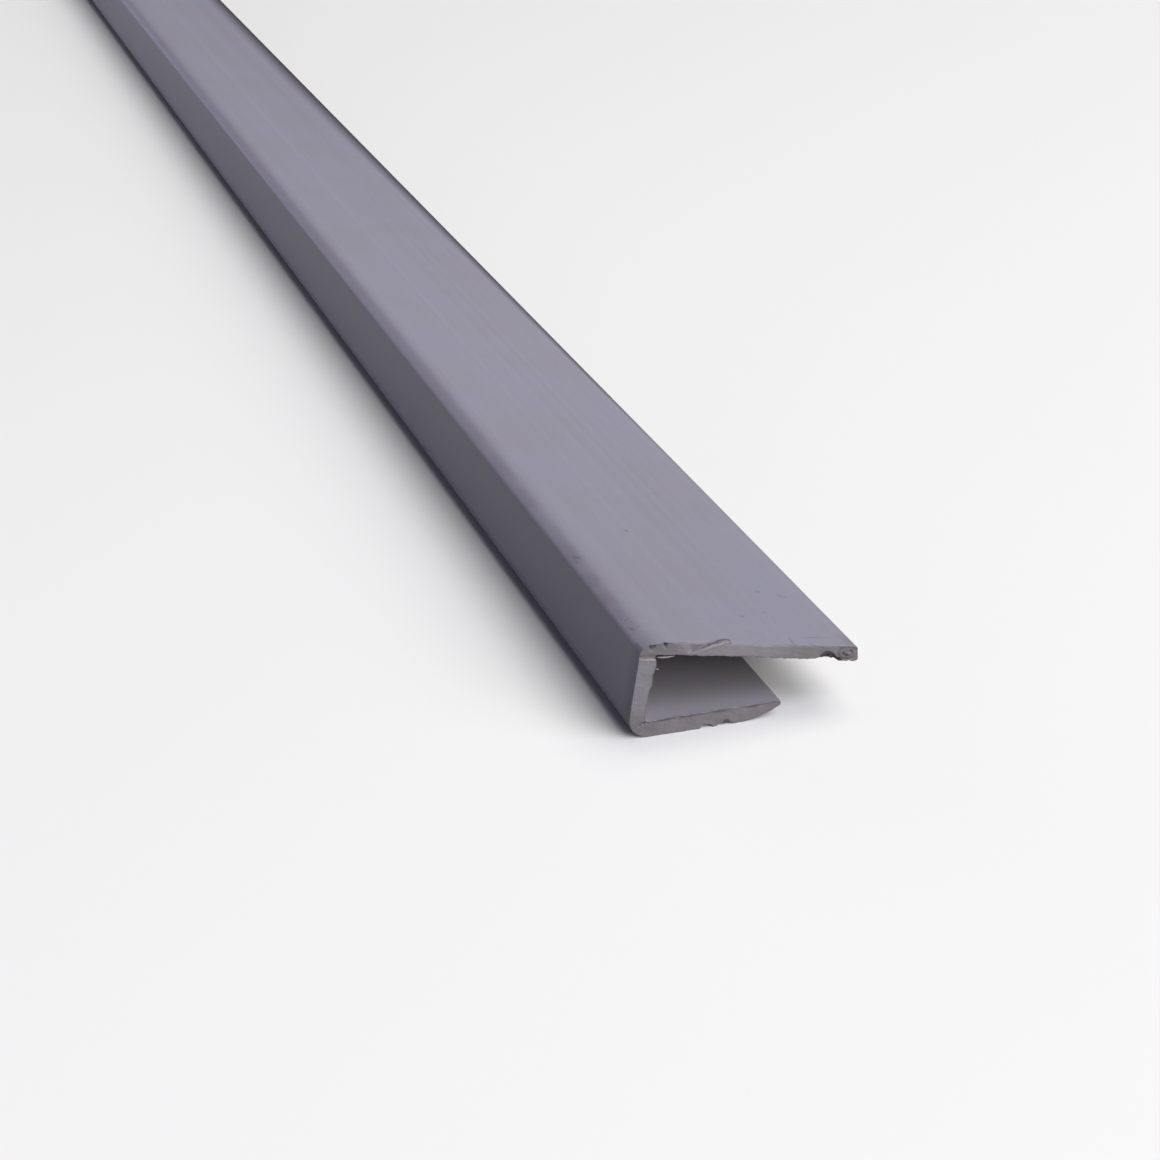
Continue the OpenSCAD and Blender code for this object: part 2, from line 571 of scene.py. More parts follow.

# %% [markdown]
# ## Wear along the trim, and painted shade on the free edge
#
# The rounded corner over the web is rubbed along its whole length, in patches near the cut and
# evenly further on. The free edge carries a band of painted shade, thin at the cut and wider and
# darker away from it, which also darkens the rounding of that edge.

# %% Rubbed corner and painted shade on the free edge
CORNER_BAND = (("X", -0.1, 0.35), ("X", 1.8, 0.9))
CORNER_PATCH_MM = 6.0
CORNER_PATCH_SPREAD = (0.35, 0.6)
CORNER_PATCHES = (0.25, 1.0)
CORNER_WEAR = 0.5
CORNER_PATCHES_END_MM = (20.0, 90.0)
# painted shade along the free edge: how dark, how wide, and where both grow along the trim
EDGE_PAINTED_SHADE = (0.3, 1.0)
EDGE_PAINTED_SHADE_RISES_MM = (15.0, 95.0)
EDGE_PAINTED_SHADE_WIDTH_MM = (0.45, 3.9)
EDGE_PAINTED_SHADE_WIDENS_MM = (55.0, 300.0)


def corner_rub(tree, place, parts, inside):
    """Rubbed skin on the outside of the corner over the web."""
    wear = add_node(tree, "ShaderNodeTexNoise", {
        "Vector": place, "Scale": 1 / CORNER_PATCH_MM, "Detail": 3.0,
    })
    patches = add_node(tree, "ShaderNodeMapRange", {
        "Value": wear, "From Min": CORNER_PATCH_SPREAD[0], "From Max": CORNER_PATCH_SPREAD[1],
        "To Min": CORNER_PATCHES[0], "To Max": CORNER_PATCHES[1],
    })
    evener = along_trim(tree, parts, CORNER_PATCHES_END_MM, (0.0, 1.0))
    worn = add_node(tree, "ShaderNodeMix", {0: evener, 2: patches, 3: CORNER_WEAR}, data_type="FLOAT")
    outside = add_node(tree, "ShaderNodeMath", {0: 1.0, 1: inside}, operation="SUBTRACT")
    return product(tree, zone(tree, parts, CORNER_BAND), worn, outside)


def painted_edge_shade(tree, parts):
    """Painted shade along the free edge, wider and darker away from the near cut."""
    inwards = add_node(tree, "ShaderNodeMath", {0: FLANGE_W, 1: parts["X"]}, operation="SUBTRACT")
    width = along_trim(tree, parts, EDGE_PAINTED_SHADE_WIDENS_MM, EDGE_PAINTED_SHADE_WIDTH_MM)
    share = add_node(tree, "ShaderNodeMath", {0: inwards, 1: width}, operation="DIVIDE")
    near_edge = add_node(tree, "ShaderNodeMapRange", {"Value": share, "From Min": 1.0, "From Max": 0.0})
    return product(tree, near_edge, along_trim(tree, parts, EDGE_PAINTED_SHADE_RISES_MM, EDGE_PAINTED_SHADE))


# how wide the painted shade on the free edge grows
print("dirt on the free edge grows to", EDGE_PAINTED_SHADE_WIDTH_MM[1], "mm wide")

# %% [markdown]
# ## The skin put together
#
# The coats go on in turn: a lighter, warmer grey inside the slot, wear on the corner, rubs and
# specks, the grime and painted shade of the cut, and painted shade along the free edge. Roughness
# is even and middling, which gives a soft sheen and no mirror image, and rubs and the shaded free
# edge are duller. The mask for the inside of the slot is the share across the section, and the
# grime and painted shade come from the mesh too, where the damage is modelled.

# %% Material of the skin
# inside the slot the skin is a lighter, warmer grey
SLOT_GREY_SHARE = 0.8
SKIN_ROUGHNESS = 0.45
SKIN_ROUGHNESS_SWING = 0.06
RUBS_DULL = 0.25
EDGE_SHADE_DULLS = 0.35
RUBS_SINK = -1.5
SKIN_RELIEF_MM = 0.012


def extruded_rigid_pvc():
    """Satin grey skin with die lines, slow blotches, specks, rubs, scratches and grime, with painted light
    along the trim and painted shade on the cut and the free edge.
    """
    material, tree, shader = rigid_pvc("extruded_rigid_pvc")
    place, parts = upright_mm(tree)
    inside = add_node(tree, "ShaderNodeAttribute", attribute_name="across").outputs["Fac"]
    grime_and_shade = add_node(tree, "ShaderNodeAttribute", attribute_name="grime_and_shade").outputs["Fac"]
    relief = skin_relief(tree, place)
    rubs = skin_rubs(tree, place)
    edge = painted_edge_shade(tree, parts)
    colour = painted(
        tree, skin_tone(tree, place, parts, relief),
        (product(tree, inside, SLOT_GREY_SHARE), SKIN_SLOT_GREY),
        (corner_rub(tree, place, parts, inside), SKIN_RUBBED),
        (rubs, SKIN_SCUFF),
        # grime and painted shade, from the mesh
        (grime_and_shade, GRIME_AND_SHADE),
        # painted shade along the free edge
        (edge, EDGE_SHADE_COLOUR),
    )
    sheen = add_node(tree, "ShaderNodeMapRange", {
        "Value": relief, "From Min": RELIEF_SPREAD[0], "From Max": RELIEF_SPREAD[1],
        "To Min": SKIN_ROUGHNESS - SKIN_ROUGHNESS_SWING,
        "To Max": SKIN_ROUGHNESS + SKIN_ROUGHNESS_SWING,
    })
    for mask, duller in ((rubs, RUBS_DULL), (edge, EDGE_SHADE_DULLS)):
        sheen = add_node(tree, "ShaderNodeMath", {0: mask, 1: duller, 2: sheen}, operation="MULTIPLY_ADD")
    height = add_node(tree, "ShaderNodeMath", {0: rubs, 1: RUBS_SINK, 2: relief}, operation="MULTIPLY_ADD")
    finish_surface(tree, shader, colour, sheen, height, SKIN_RELIEF_MM)
    return material


skin = extruded_rigid_pvc()
print("nodes in the skin's tree:", len(skin.node_tree.nodes))

# %% [markdown]
# ## Sawn rigid PVC
#
# A saw leaves rigid PVC matt and streaked: the teeth drag lines across it, and dust stays in
# them. The lines run with the stroke, across the flange, so this noise is stretched that way and
# squeezed up the web. Two greys mix in patches, the web's cut is cooler, and the blade rubbed
# the middle of the flange a little paler. Freshly torn edges are paler still, painted highlights
# lie on the ridge of the tear and the lip of the groove, grime lies in the pits, and painted
# shade darkens the chips, rims, corners and seams. Both of those masks come from the mesh,
# where the damage is modelled.

# %% Tone of the cuts
PATCH_MM = 1.1
PATCH_SPREAD = (0.38, 0.62)
WEB_CUT = (("Z", 2.2, 4.6), ("Z", 9.6, 9.2), ("X", 2.6, 1.2))
FLANGE_MIDDLE = (("X", 3.5, 7.0), ("X", 19.0, 14.0))
FLANGE_ABOVE = 9.0
MIDDLE_RUBBED = 0.55


def sawn_tone(tree, place, parts):
    """Two greys in patches, with a cooler one on the web and a paler one along the flange."""
    patch = add_node(tree, "ShaderNodeTexNoise", {
        "Vector": place, "Scale": 1 / PATCH_MM, "Detail": 4.0, "Distortion": 0.4,
    })
    blend = add_node(tree, "ShaderNodeMapRange", {
        "Value": patch, "From Min": PATCH_SPREAD[0], "From Max": PATCH_SPREAD[1],
    })
    on_flange = add_node(tree, "ShaderNodeMath", {
        0: parts["Z"], 1: FLANGE_ABOVE,
    }, operation="GREATER_THAN")
    rubbed = product(tree, zone(tree, parts, FLANGE_MIDDLE), on_flange, MIDDLE_RUBBED)
    return painted(
        tree, linear(SAWN_NEUTRAL),
        (blend, SAWN_WARM),
        (zone(tree, parts, WEB_CUT), SAWN_COOL),
        (rubbed, SAWN_RUBBED),
    )


print("patches on the cut are", PATCH_MM, "mm wide")

# %% Material of the cuts
SAW_LINE_MM = 0.3
SAW_STROKE_MM = 3.0
STROKE_TILT = 7.0
STREAK_SPREAD = (0.3, 0.7)
STREAK_SHADE = (0.965, 1.035)
SAW_DUST_MM = 0.3
SAW_DUST_SPREAD = (0.35, 0.65)
GRIME_PATCHES = (0.6, 1.2)
SAWN_ROUGHNESS = 0.75
SAWN_ROUGHNESS_SWING = 0.1
SAWN_RELIEF_MM = 0.035


def sawn_rigid_pvc():
    """Matt, streaky cut face, paler where it was torn and where highlights are painted, and dark in its
    pits and where shade is painted.
    """
    material, tree, shader = rigid_pvc("sawn_rigid_pvc")
    place, parts = upright_mm(tree)
    torn_and_highlight = add_node(tree, "ShaderNodeAttribute", attribute_name="torn_and_highlight").outputs["Fac"]
    grime_and_shade = add_node(tree, "ShaderNodeAttribute", attribute_name="grime_and_shade").outputs["Fac"]
    stroke = add_node(tree, "ShaderNodeMapping", {
        "Vector": place,
        "Rotation": (0.0, math.radians(STROKE_TILT), 0.0),
        "Scale": (1 / SAW_STROKE_MM, 1 / SAW_STROKE_MM, 1 / SAW_LINE_MM),
    })
    lines = add_node(tree, "ShaderNodeTexNoise", {"Vector": stroke, "Scale": 1.0, "Detail": 3.0})
    streak = add_node(tree, "ShaderNodeMapRange", {
        "Value": lines, "From Min": STREAK_SPREAD[0], "From Max": STREAK_SPREAD[1],
        "To Min": STREAK_SHADE[0], "To Max": STREAK_SHADE[1],
    })
    streaked = add_node(tree, "ShaderNodeVectorMath", {
        0: sawn_tone(tree, place, parts), 1: streak,
    }, operation="MULTIPLY")
    dust = add_node(tree, "ShaderNodeTexNoise", {"Vector": place, "Scale": 1 / SAW_DUST_MM, "Detail": 4.0})
    patches = add_node(tree, "ShaderNodeMapRange", {
        "Value": dust, "From Min": SAW_DUST_SPREAD[0], "From Max": SAW_DUST_SPREAD[1],
        "To Min": GRIME_PATCHES[0], "To Max": GRIME_PATCHES[1],
    })
    dirt_and_shade = add_node(tree, "ShaderNodeMath", {0: grime_and_shade, 1: patches}, operation="MULTIPLY", use_clamp=True)
    matt = add_node(tree, "ShaderNodeMapRange", {
        "Value": dust,
        "To Min": SAWN_ROUGHNESS - SAWN_ROUGHNESS_SWING,
        "To Max": SAWN_ROUGHNESS + SAWN_ROUGHNESS_SWING,
    })
    height = add_node(tree, "ShaderNodeMath", {0: lines, 1: dust}, operation="ADD")
    # pale torn plastic with painted highlights, then grime and painted shade
    colour = painted(tree, streaked, (torn_and_highlight, SAWN_TORN_AND_HIGHLIGHT), (dirt_and_shade, GRIME_AND_SHADE))
    finish_surface(tree, shader, colour, matt, height, SAWN_RELIEF_MM)
    return material


sawn = sawn_rigid_pvc()
print("nodes in the sawn face's tree:", len(sawn.node_tree.nodes))

# %% [markdown]
# ## Running a Geometry Nodes tree
#
# A tree is built in the script with a named input for each size. Its modifier is given those
# sizes by the sockets' identifiers, is evaluated once, and its result becomes a plain mesh.

# %% Make a tree and realise it


def new_geometry_tree(name, sizes):
    """A Geometry Nodes tree with a geometry input and output, and a named input for each size."""
    tree = bpy.data.node_groups.new(name, "GeometryNodeTree")
    tree.interface.new_socket("Geometry", in_out="INPUT", socket_type="NodeSocketGeometry")
    tree.interface.new_socket("Geometry", in_out="OUTPUT", socket_type="NodeSocketGeometry")
    for title, kind in sizes.items():
        tree.interface.new_socket(title, in_out="INPUT", socket_type="NodeSocket" + kind)
    return tree, add_node(tree, "NodeGroupInput").outputs


def realised(obj, tree, values, name):
    """The plain mesh that a Geometry Nodes tree makes of an object, as an object of its own."""
    modifier = obj.modifiers.new(tree.name, "NODES")
    modifier.node_group = tree
    sockets = {i.name: i.identifier for i in tree.interface.items_tree if i.in_out == "INPUT"}
    for title, value in values.items():
        modifier[sockets[title]] = value
    depsgraph = bpy.context.evaluated_depsgraph_get()
    mesh = bpy.data.meshes.new_from_object(obj.evaluated_get(depsgraph), depsgraph=depsgraph)
    mesh.name = name
    bpy.data.objects.remove(obj)
    return new_object(name, mesh)


print("trees are evaluated once and kept as meshes")

# %% [markdown]
# ## Extruding the trim
#
# The real trim is the section pushed out of a die and cut off. Geometry Nodes do the same: a
# repeat zone extrudes the cut face again and again at an even pace. A second step then spaces the
# rings out, each gap a fixed factor wider than the one before it, so rings crowd at the near end,
# where the saw left detail, and are far apart on the plain rest.

# %% Push the section out in a repeat zone
MERGE_MM = 0.001


def pushed_out(tree, given):
    """Nodes that extrude the cut face ring by ring, and close both ends."""
    skinned = add_node(tree, "GeometryNodeSetMaterial", {
        "Geometry": given["Geometry"], "Material": given["Skin"],
    })
    step = add_node(tree, "ShaderNodeMath", {0: given["Length"], 1: given["Rings"]}, operation="DIVIDE")
    zone_in = add_node(tree, "GeometryNodeRepeatInput")
    zone_out = add_node(tree, "GeometryNodeRepeatOutput")
    zone_out.repeat_items.new("BOOLEAN", "End face")
    zone_in.pair_with_output(zone_out)
    connect(tree, zone_in, {
        "Iterations": given["Rings"],
        "Geometry": skinned,
        "End face": add_node(tree, "FunctionNodeInputBool", boolean=True),
    })
    pushed = add_node(tree, "GeometryNodeExtrudeMesh", {
        "Mesh": zone_in.outputs["Geometry"],
        "Selection": zone_in.outputs["End face"],
        "Offset": add_node(tree, "FunctionNodeInputVector", vector=(0.0, 1.0, 0.0)),
        "Offset Scale": step,
        "Individual": False,
    }, mode="FACES")
    connect(tree, zone_out, {"Geometry": pushed, "End face": pushed.outputs["Top"]})
    far_cut = add_node(tree, "GeometryNodeSetMaterial", {
        "Geometry": zone_out.outputs["Geometry"],
        "Selection": zone_out.outputs["End face"],
        "Material": given["Sawn"],
    })
    near_cut = add_node(tree, "GeometryNodeSetMaterial", {
        "Geometry": add_node(tree, "GeometryNodeFlipFaces", {"Mesh": given["Geometry"]}),
        "Material": given["Sawn"],
    })
    both = add_node(tree, "GeometryNodeJoinGeometry")
    for cut in (far_cut, near_cut):
        connect(tree, both, {"Geometry": cut})
    return add_node(tree, "GeometryNodeMergeByDistance", {"Geometry": both, "Distance": MERGE_MM * MM})


print("the repeat zone needs its offset vector linked, or it pushes along the normals")

# %% Space the rings and finish the tree
RINGS = 66
RING_GROWTH = 1.108


def extrusion_tree():
    """Extrudes a flat cut face to a closed length of stock, its rings crowded at the near end."""
    tree, given = new_geometry_tree("extrude_stock", {
        "Length": "Float", "Rings": "Int", "Growth": "Float", "Skin": "Material", "Sawn": "Material",
    })
    box = add_node(tree, "GeometryNodeBoundBox", {"Geometry": given["Geometry"]})
    start = add_node(tree, "ShaderNodeSeparateXYZ", {"Vector": box.outputs["Min"]}).outputs["Y"]
    position = add_node(tree, "GeometryNodeInputPosition")
    place = add_node(tree, "ShaderNodeSeparateXYZ", {"Vector": position}).outputs
    gone = add_node(tree, "ShaderNodeMath", {0: place["Y"], 1: start}, operation="SUBTRACT")
    share = add_node(tree, "ShaderNodeMath", {0: gone, 1: given["Length"]}, operation="DIVIDE")
    grown = []
    for rings in (product(tree, share, given["Rings"]), given["Rings"]):
        power = add_node(tree, "ShaderNodeMath", {0: given["Growth"], 1: rings}, operation="POWER")
        grown.append(add_node(tree, "ShaderNodeMath", {0: power, 1: 1.0}, operation="SUBTRACT"))
    spaced = add_node(tree, "ShaderNodeMath", {0: grown[0], 1: grown[1]}, operation="DIVIDE")
    along = add_node(tree, "ShaderNodeMath", {
        0: spaced, 1: given["Length"], 2: start,
    }, operation="MULTIPLY_ADD")
    moved = add_node(tree, "GeometryNodeSetPosition", {
        "Geometry": pushed_out(tree, given),
        "Position": add_node(tree, "ShaderNodeCombineXYZ", {"X": place["X"], "Y": along, "Z": place["Z"]}),
    })
    real = add_node(tree, "GeometryNodeRealizeInstances", {"Geometry": moved})
    add_node(tree, "NodeGroupOutput", {"Geometry": real})
    return tree


trim = realised(cut_face, extrusion_tree(), {
    "Length": trim_length,
    "Rings": RINGS,
    "Growth": RING_GROWTH,
    "Skin": skin,
    "Sawn": sawn,
}, "edge_trim_dressed")
print("trim: points", len(trim.data.vertices), "faces", len(trim.data.polygons))

# %% [markdown]
# ## Tools for the damage
#
# The near cut could be sculpted by hand, but a script can only repeat what is written down. So
# each chip, step and pit is written as what it is: a place on the upright section, a size, and a
# rule for how far it moves a point. Small rules of four kinds do all of it. A ramp blends one
# level into another, a band is a ramp up and a ramp down again, a hump is a soft bump round a
# place, and a scoop is an ellipsoid pressed into an edge, which pushes every point inside it out
# to its shell.

# %% Ramps, bands, humps, grain and scoops


def ramp(value, low, high):
    """0 below low, 1 above high, and smooth between them."""
    share = np.clip((value - low) / (high - low), 0.0, 1.0)
    return share * share * (3 - 2 * share)


def band(value, low, full, end, gone):
    """0 outside a stretch, 1 on it from full to end, and smooth between."""
    return ramp(value, low, full) * (1 - ramp(value, end, gone))


def hump(value, centre, half_width):
    """A soft bump of height 1 round a value."""
    return np.exp(-((value - centre) / half_width) ** 2)


def grain(places, size, seed):
    """Smooth random heights from about -1 to 1 at places in millimetres, with grains of a size."""
    shift = Vector((17.3 * seed, 5.1 * seed, 9.7 * seed))
    return np.array([noise.noise(Vector(p) / size + shift) for p in places])


def along_line(u, v, start, end):
    """How far a point is along a line of the section, and how far off it on the left."""
    length = math.dist(start, end)
    du = (end[0] - start[0]) / length
    dv = (end[1] - start[1]) / length
    u = u - start[0]
    v = v - start[1]
    return u * du + v * dv, v * du - u * dv


def scooped(places, centre, radii, rough):
    """Pushes places inside an ellipsoid out to its uneven shell, and says which ones moved."""
    reach = (places - np.array(centre)) / (np.array(radii) * (1 + rough[:, None]))
    far = np.linalg.norm(reach, axis=1)
    inside = far < 1.0
    pushed = np.array(centre) + (places - np.array(centre)) / np.maximum(far, 0.05)[:, None]
    return np.where(inside[:, None], pushed, places), inside


print("ramp(0.5, 0, 1) is", ramp(0.5, 0.0, 1.0))

# %% [markdown]
# ## How deep the saw cut lies
#
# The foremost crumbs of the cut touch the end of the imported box, and the rest of the face lies
# a little behind them. Four things stand out on the photographed end. A shallow groove crosses
# the top of the web, where two strokes of the saw met, and its lower lip catches the light. A
# strip of the flange tore away above a slanting line. A blunt knob of smeared plastic sits at
# the free edge. And a short line is scored where the web's cut meets the lip's.

# %% Marks of the saw on the cut face, in millimetres
CUT_DEPTH = 0.2
CUT_WAVES = 0.04
CUT_WAVES_MM = 1.3
CUT_GRAIN = 0.022
CUT_GRAIN_MM = 0.4
TOOTH_DEPTH = 0.006
TOOTH_PITCH = 0.5
TOOTH_TILT = 0.12
# place across and up, half width, depth
PITS = [
    (1.15, 10.74, 0.24, 0.42),
    (1.45, 10.9, 0.14, 0.25),
    (2.65, 11.15, 0.2, 0.42),
    (2.75, 10.85, 0.12, 0.15),
    (23.36, 10.51, 0.14, 0.28),
    (23.75, 10.38, 0.14, 0.3),
    (24.22, 10.87, 0.14, 0.28),
    (24.45, 10.62, 0.11, 0.16),
    (11.1, 2.2, 0.25, 0.3),
    (11.45, 2.24, 0.15, 0.2),
    (1.3, 1.75, 0.14, 0.2),
    (1.75, 1.95, 0.12, 0.18),
]


def flat_places(u, v):
    """Places on the section, all at the same depth, for grain that doesn't change along the trim."""
    return np.stack([u, v, 0 * v], 1)


def tooth_waves(u, v, wander):
    """Waves that the saw's teeth left up the section, their phase wandering a little."""
    return np.sin(2 * math.pi * (v + TOOTH_TILT * u) / TOOTH_PITCH + wander)


def saw_marks(u, v):
    """How far the saw's own marks and the pits sink the cut."""
    places = flat_places(u, v)
    depth = CUT_WAVES * grain(places, CUT_WAVES_MM, 1) + CUT_GRAIN * grain(places, CUT_GRAIN_MM, 2)
    depth += TOOTH_DEPTH * tooth_waves(u, v, 3 * grain(places, 2.0, 3))
    for pit_u, pit_v, half_width, pit_depth in PITS:
        depth += pit_depth * hump(np.hypot(u - pit_u, v - pit_v), 0.0, half_width)
    return depth


print("pits in the cut:", len(PITS))

# %% Groove, tear, knob and scored line
# a band is where it starts, is full, ends and is gone; a hump is its middle and half width
WEB_CUT_W = WEB_T + 0.15
GROOVE_TILT = 0.04
GROOVE_WANDER = 0.04
GROOVE_BAND = (9.3, 9.42, 9.74, 9.86)
GROOVE_DEPTH = 0.08
GROOVE_LIP = (9.24, 0.1)
GROOVE_LIP_HEIGHT = 0.05
TEAR_START = (5.7, 10.27)
TEAR_END = (8.15, 11.45)
tear_length = math.dist(TEAR_START, TEAR_END)
TEAR_BAND = (-0.5, 0.4, tear_length - 0.3, tear_length + 0.2)
TEAR_STEP = (-0.02, 0.12)
TEAR_DEPTH = 0.5
TEAR_FADE = 0.9
TEAR_RIDGE = (-0.22, 0.16)
TEAR_RIDGE_HEIGHT = 0.13
KNOB = (23.85, 10.6)
KNOB_HALF_W = 1.05
KNOB_HALF_H = 0.62
KNOB_UNEVEN = 0.14
# how far each ring of the knob sinks, from its middle outwards, and its hump
KNOB_RINGS = [(-0.17, (0.0, 0.75)), (0.07, (0.5, 0.15)), (0.1, (1.05, 0.22))]
SCORE_START = (2.4, 2.18)
SCORE_END = (1.2, 1.95)
SCORE_BAND = (0.0, 0.3, 0.9, 1.15)
SCORE_DEPTH = 0.14
SCORE_HALF_W = 0.09
DEEPEST = 1.2


def groove_level(u, v):
    """Height up the web, by which the groove, its seam and its bright lip lie."""
    return v - GROOVE_TILT * u + GROOVE_WANDER * grain(flat_places(u, v), 0.8, 10)


def knob_ring(u, v):
    """0 in the middle of the knob at the free edge and 1 on its rim."""
    return np.hypot((u - KNOB[0]) / KNOB_HALF_W, (v - KNOB[1]) / KNOB_HALF_H)


def scored_line(u, v, half_width):
    """1 along the short line by the web's foot, and 0 away from it."""
    run, side = along_line(u, v, SCORE_START, SCORE_END)
    return hump(side, 0.0, half_width) * band(run, *SCORE_BAND)


def cut_depth(u, v):
    """How far behind the foremost point the cut lies at each place of the section."""
    depth = CUT_DEPTH + saw_marks(u, v)
    level = groove_level(u, v)
    groove = GROOVE_DEPTH * band(level, *GROOVE_BAND) - GROOVE_LIP_HEIGHT * hump(level, *GROOVE_LIP)
    depth += groove * (u < WEB_CUT_W)
    run, side = along_line(u, v, TEAR_START, TEAR_END)
    torn = TEAR_DEPTH * ramp(side, *TEAR_STEP) * np.exp(-np.maximum(side, 0) / TEAR_FADE)
    depth += band(run, *TEAR_BAND) * (torn - TEAR_RIDGE_HEIGHT * hump(side, *TEAR_RIDGE))
    ring = knob_ring(u, v) + KNOB_UNEVEN * grain(flat_places(u, v), 0.45, 12)
    for sinks, where in KNOB_RINGS:
        depth += sinks * hump(ring, *where)
    depth += SCORE_DEPTH * scored_line(u, v, SCORE_HALF_W)
    return np.clip(depth, 0.01, DEEPEST)


print("the cut lies", CUT_DEPTH, "mm behind its foremost crumbs")

# %% [markdown]
# ## Chips along the edges of the cut
#
# The lower edges broke out where the saw came through: two notches, a worn stretch and a nick
# under the lip, and a chip with a thin tail under the free end of the flange. The top edge is
# broken back above the tear, and the flange's free corner is blunted. Each is one scoop, its
# centre just outside the plastic. The top arris of the flange is worn back as well, by half a
# millimetre, which is one long bevel and not a scoop.

# %% The chips, in upright millimetres
# centre across, up and along, then the three radii, then how dark its deep part is, with dirt and painted
# shade
CHIPS = {
    "tear": ((6.6, 11.78, -0.25), (2.3, 0.72, 1.15), 0.0),
    "flange_chip": ((21.65, 10.0, -0.6), (1.2, 1.02, 1.3), 0.95),
    "chip_tail": ((22.75, 9.86, -0.3), (0.75, 0.33, 1.0), 0.95),
    "free_corner": ((25.15, 11.75, -0.3), (1.05, 0.57, 0.9), 0.0),
    "lip_notch": ((9.05, 1.2, -0.2), (0.85, 0.78, 2.0), 0.2),
    "lip_break": ((10.75, 1.55, -0.25), (0.7, 0.68, 1.6), 0.3),
    "lip_worn": ((12.0, 1.2, -0.3), (1.9, 1.05, 1.8), 0.0),
    "lip_nick": ((13.9, 2.2, -0.2), (0.5, 0.35, 0.8), 0.0),
}
CHIP_ROUGHNESS = 0.16
# the bevel of the arris: least and further wear, each back from the cut and down from the top
ARRIS_LEAST_BACK = 0.15
ARRIS_LEAST_DOWN = 0.05
ARRIS_BACK = 0.45
ARRIS_DOWN = 0.2
ARRIS_BAND = (3.0, 4.4, 22.0, 23.0)
ARRIS_EASES = (17.4, 18.4)
ARRIS_EASES_BY = 0.6


def planed_arris(places, rough):
    """Wears the top arris of the flange back to an uneven bevel, and says which points moved."""
    u, v, along = places.T
    wear = band(u, *ARRIS_BAND) * (1 - ARRIS_EASES_BY * ramp(u, *ARRIS_EASES)) * (1 + rough)
    top = WEB_H + ARRIS_LEAST_DOWN
    front = CUT_DEPTH - ARRIS_LEAST_BACK
    behind = along - front
    below = top - v
    level = behind / (ARRIS_LEAST_BACK + ARRIS_BACK * wear) + below / (ARRIS_LEAST_DOWN + ARRIS_DOWN * wear)
    inside = level < 1.0
    share = np.where(inside, 1 / np.maximum(level, 0.2), 1.0)
    return np.stack([u, top - below * share, front + behind * share], 1), inside


print("chips:", ", ".join(CHIPS))

# %% [markdown]
# ## The outline near the cut
#
# Before the cut sinks, the outline itself is changed: the web is thinner halfway up, the flange
# sags and the knob bulges below it, and both rims are a little ragged. All of this fades out
# within a millimetre or two behind the cut.

# %% Wear the outline
OUTLINE_FADES = 1.6
# how much thinner the web is on a stretch up it or round a height, then the band or the hump
WEB_THIN_BANDS = [(0.22, (2.5, 3.4, 5.9, 6.4)), (-0.13, (2.4, 3.2, 9.2, 9.7))]
WEB_THIN_HUMPS = [(0.1, (7.5, 0.35)), (-0.1, (8.8, 0.4))]
KNOB_SAG = 0.28
KNOB_SAG_STARTS = (22.2, 23.1)
KNOB_SAG_HALVES = (24.5, 25.0)
FLANGE_SAG = 0.11
FLANGE_SAG_BAND = (13.6, 14.8, 20.1, 20.6)
FLANGE_BUMP = 0.05
FLANGE_BUMP_PLACE = (18.9, 0.6)
KNOB_REACHES = 0.25
KNOB_REACH_STARTS = (24.3, 24.95)
RIM_FADES = 0.7
INNER_RIM_RAGGED = 0.09
OUTER_RIM_RAGGED = 0.035
LIP_BELOW = 4.0


def worn_outline(u, v, along, across, places):
    """The section near the cut, with its thin web, its knob and its ragged rims."""
    fade = np.clip(1 - along / OUTLINE_FADES, 0.0, 1.0) ** 2
    thin = sum(depth * band(v, *where) for depth, where in WEB_THIN_BANDS)
    thin += sum(depth * hump(v, *where) for depth, where in WEB_THIN_HUMPS)
    u = u - thin * (u < WEB_T + 0.1) * across * fade
    sag = KNOB_SAG * ramp(u, *KNOB_SAG_STARTS) * (1 - 0.5 * ramp(u, *KNOB_SAG_HALVES))
    sag += FLANGE_SAG * band(u, *FLANGE_SAG_BAND) + FLANGE_BUMP * hump(u, *FLANGE_BUMP_PLACE)
    v = v - sag * (v > FLANGE_ABOVE) * across * fade
    u = u + KNOB_REACHES * ramp(u, *KNOB_REACH_STARTS) * ramp(across, 0.1, 0.9) * fade
    rim = np.abs(2 * across - 1) ** 6 * np.clip(1 - along / RIM_FADES, 0.0, 1.0)
    ragged = grain(places, 0.7, 4) + 0.6 * grain(places, 0.28, 5)
    inner = across > 0.5
    swing = np.where(inner, -INNER_RIM_RAGGED, OUTER_RIM_RAGGED) * (across != 0.5)
    outwards = np.where(v - slope_tan * u > LIP_BELOW, 1.0, -1.0)
    return u, v + swing * rim * ragged * outwards


print("the outline is worn up to", OUTLINE_FADES, "mm behind the cut")

# %% [markdown]
# ## Masks for grime, painted shade and painted highlights
#
# The materials need to know where the cut is dark and where it is pale. Grime lies in the pits,
# on all rims a little, and on the skin just behind the cut. The chips carry grime and painted
# shade, and painted shade darkens the lower rims, the corners, the knob, the seams of the groove
# and the slit of the tear. Painted highlights lie on the ridge beside the tear and on the lip of
# the groove. Each mask is a sum of the same ramps, bands and humps, and the darkest one counts.

# %% How dark and how pale the near end is
# painted highlights on the ridge of the tear and on the lip of the groove
RIDGE_HIGHLIGHT = 0.7
RIDGE_HUMP = (-0.24, 0.15)
RIDGE_BAND = (0.2, 2.0, 2.7, 3.1)
GROOVE_LIP_HIGHLIGHT = 0.6
GROOVE_LIP_HUMP = (9.32, 0.08)
GROOVE_LIP_STARTS = (0.4, 1.1)
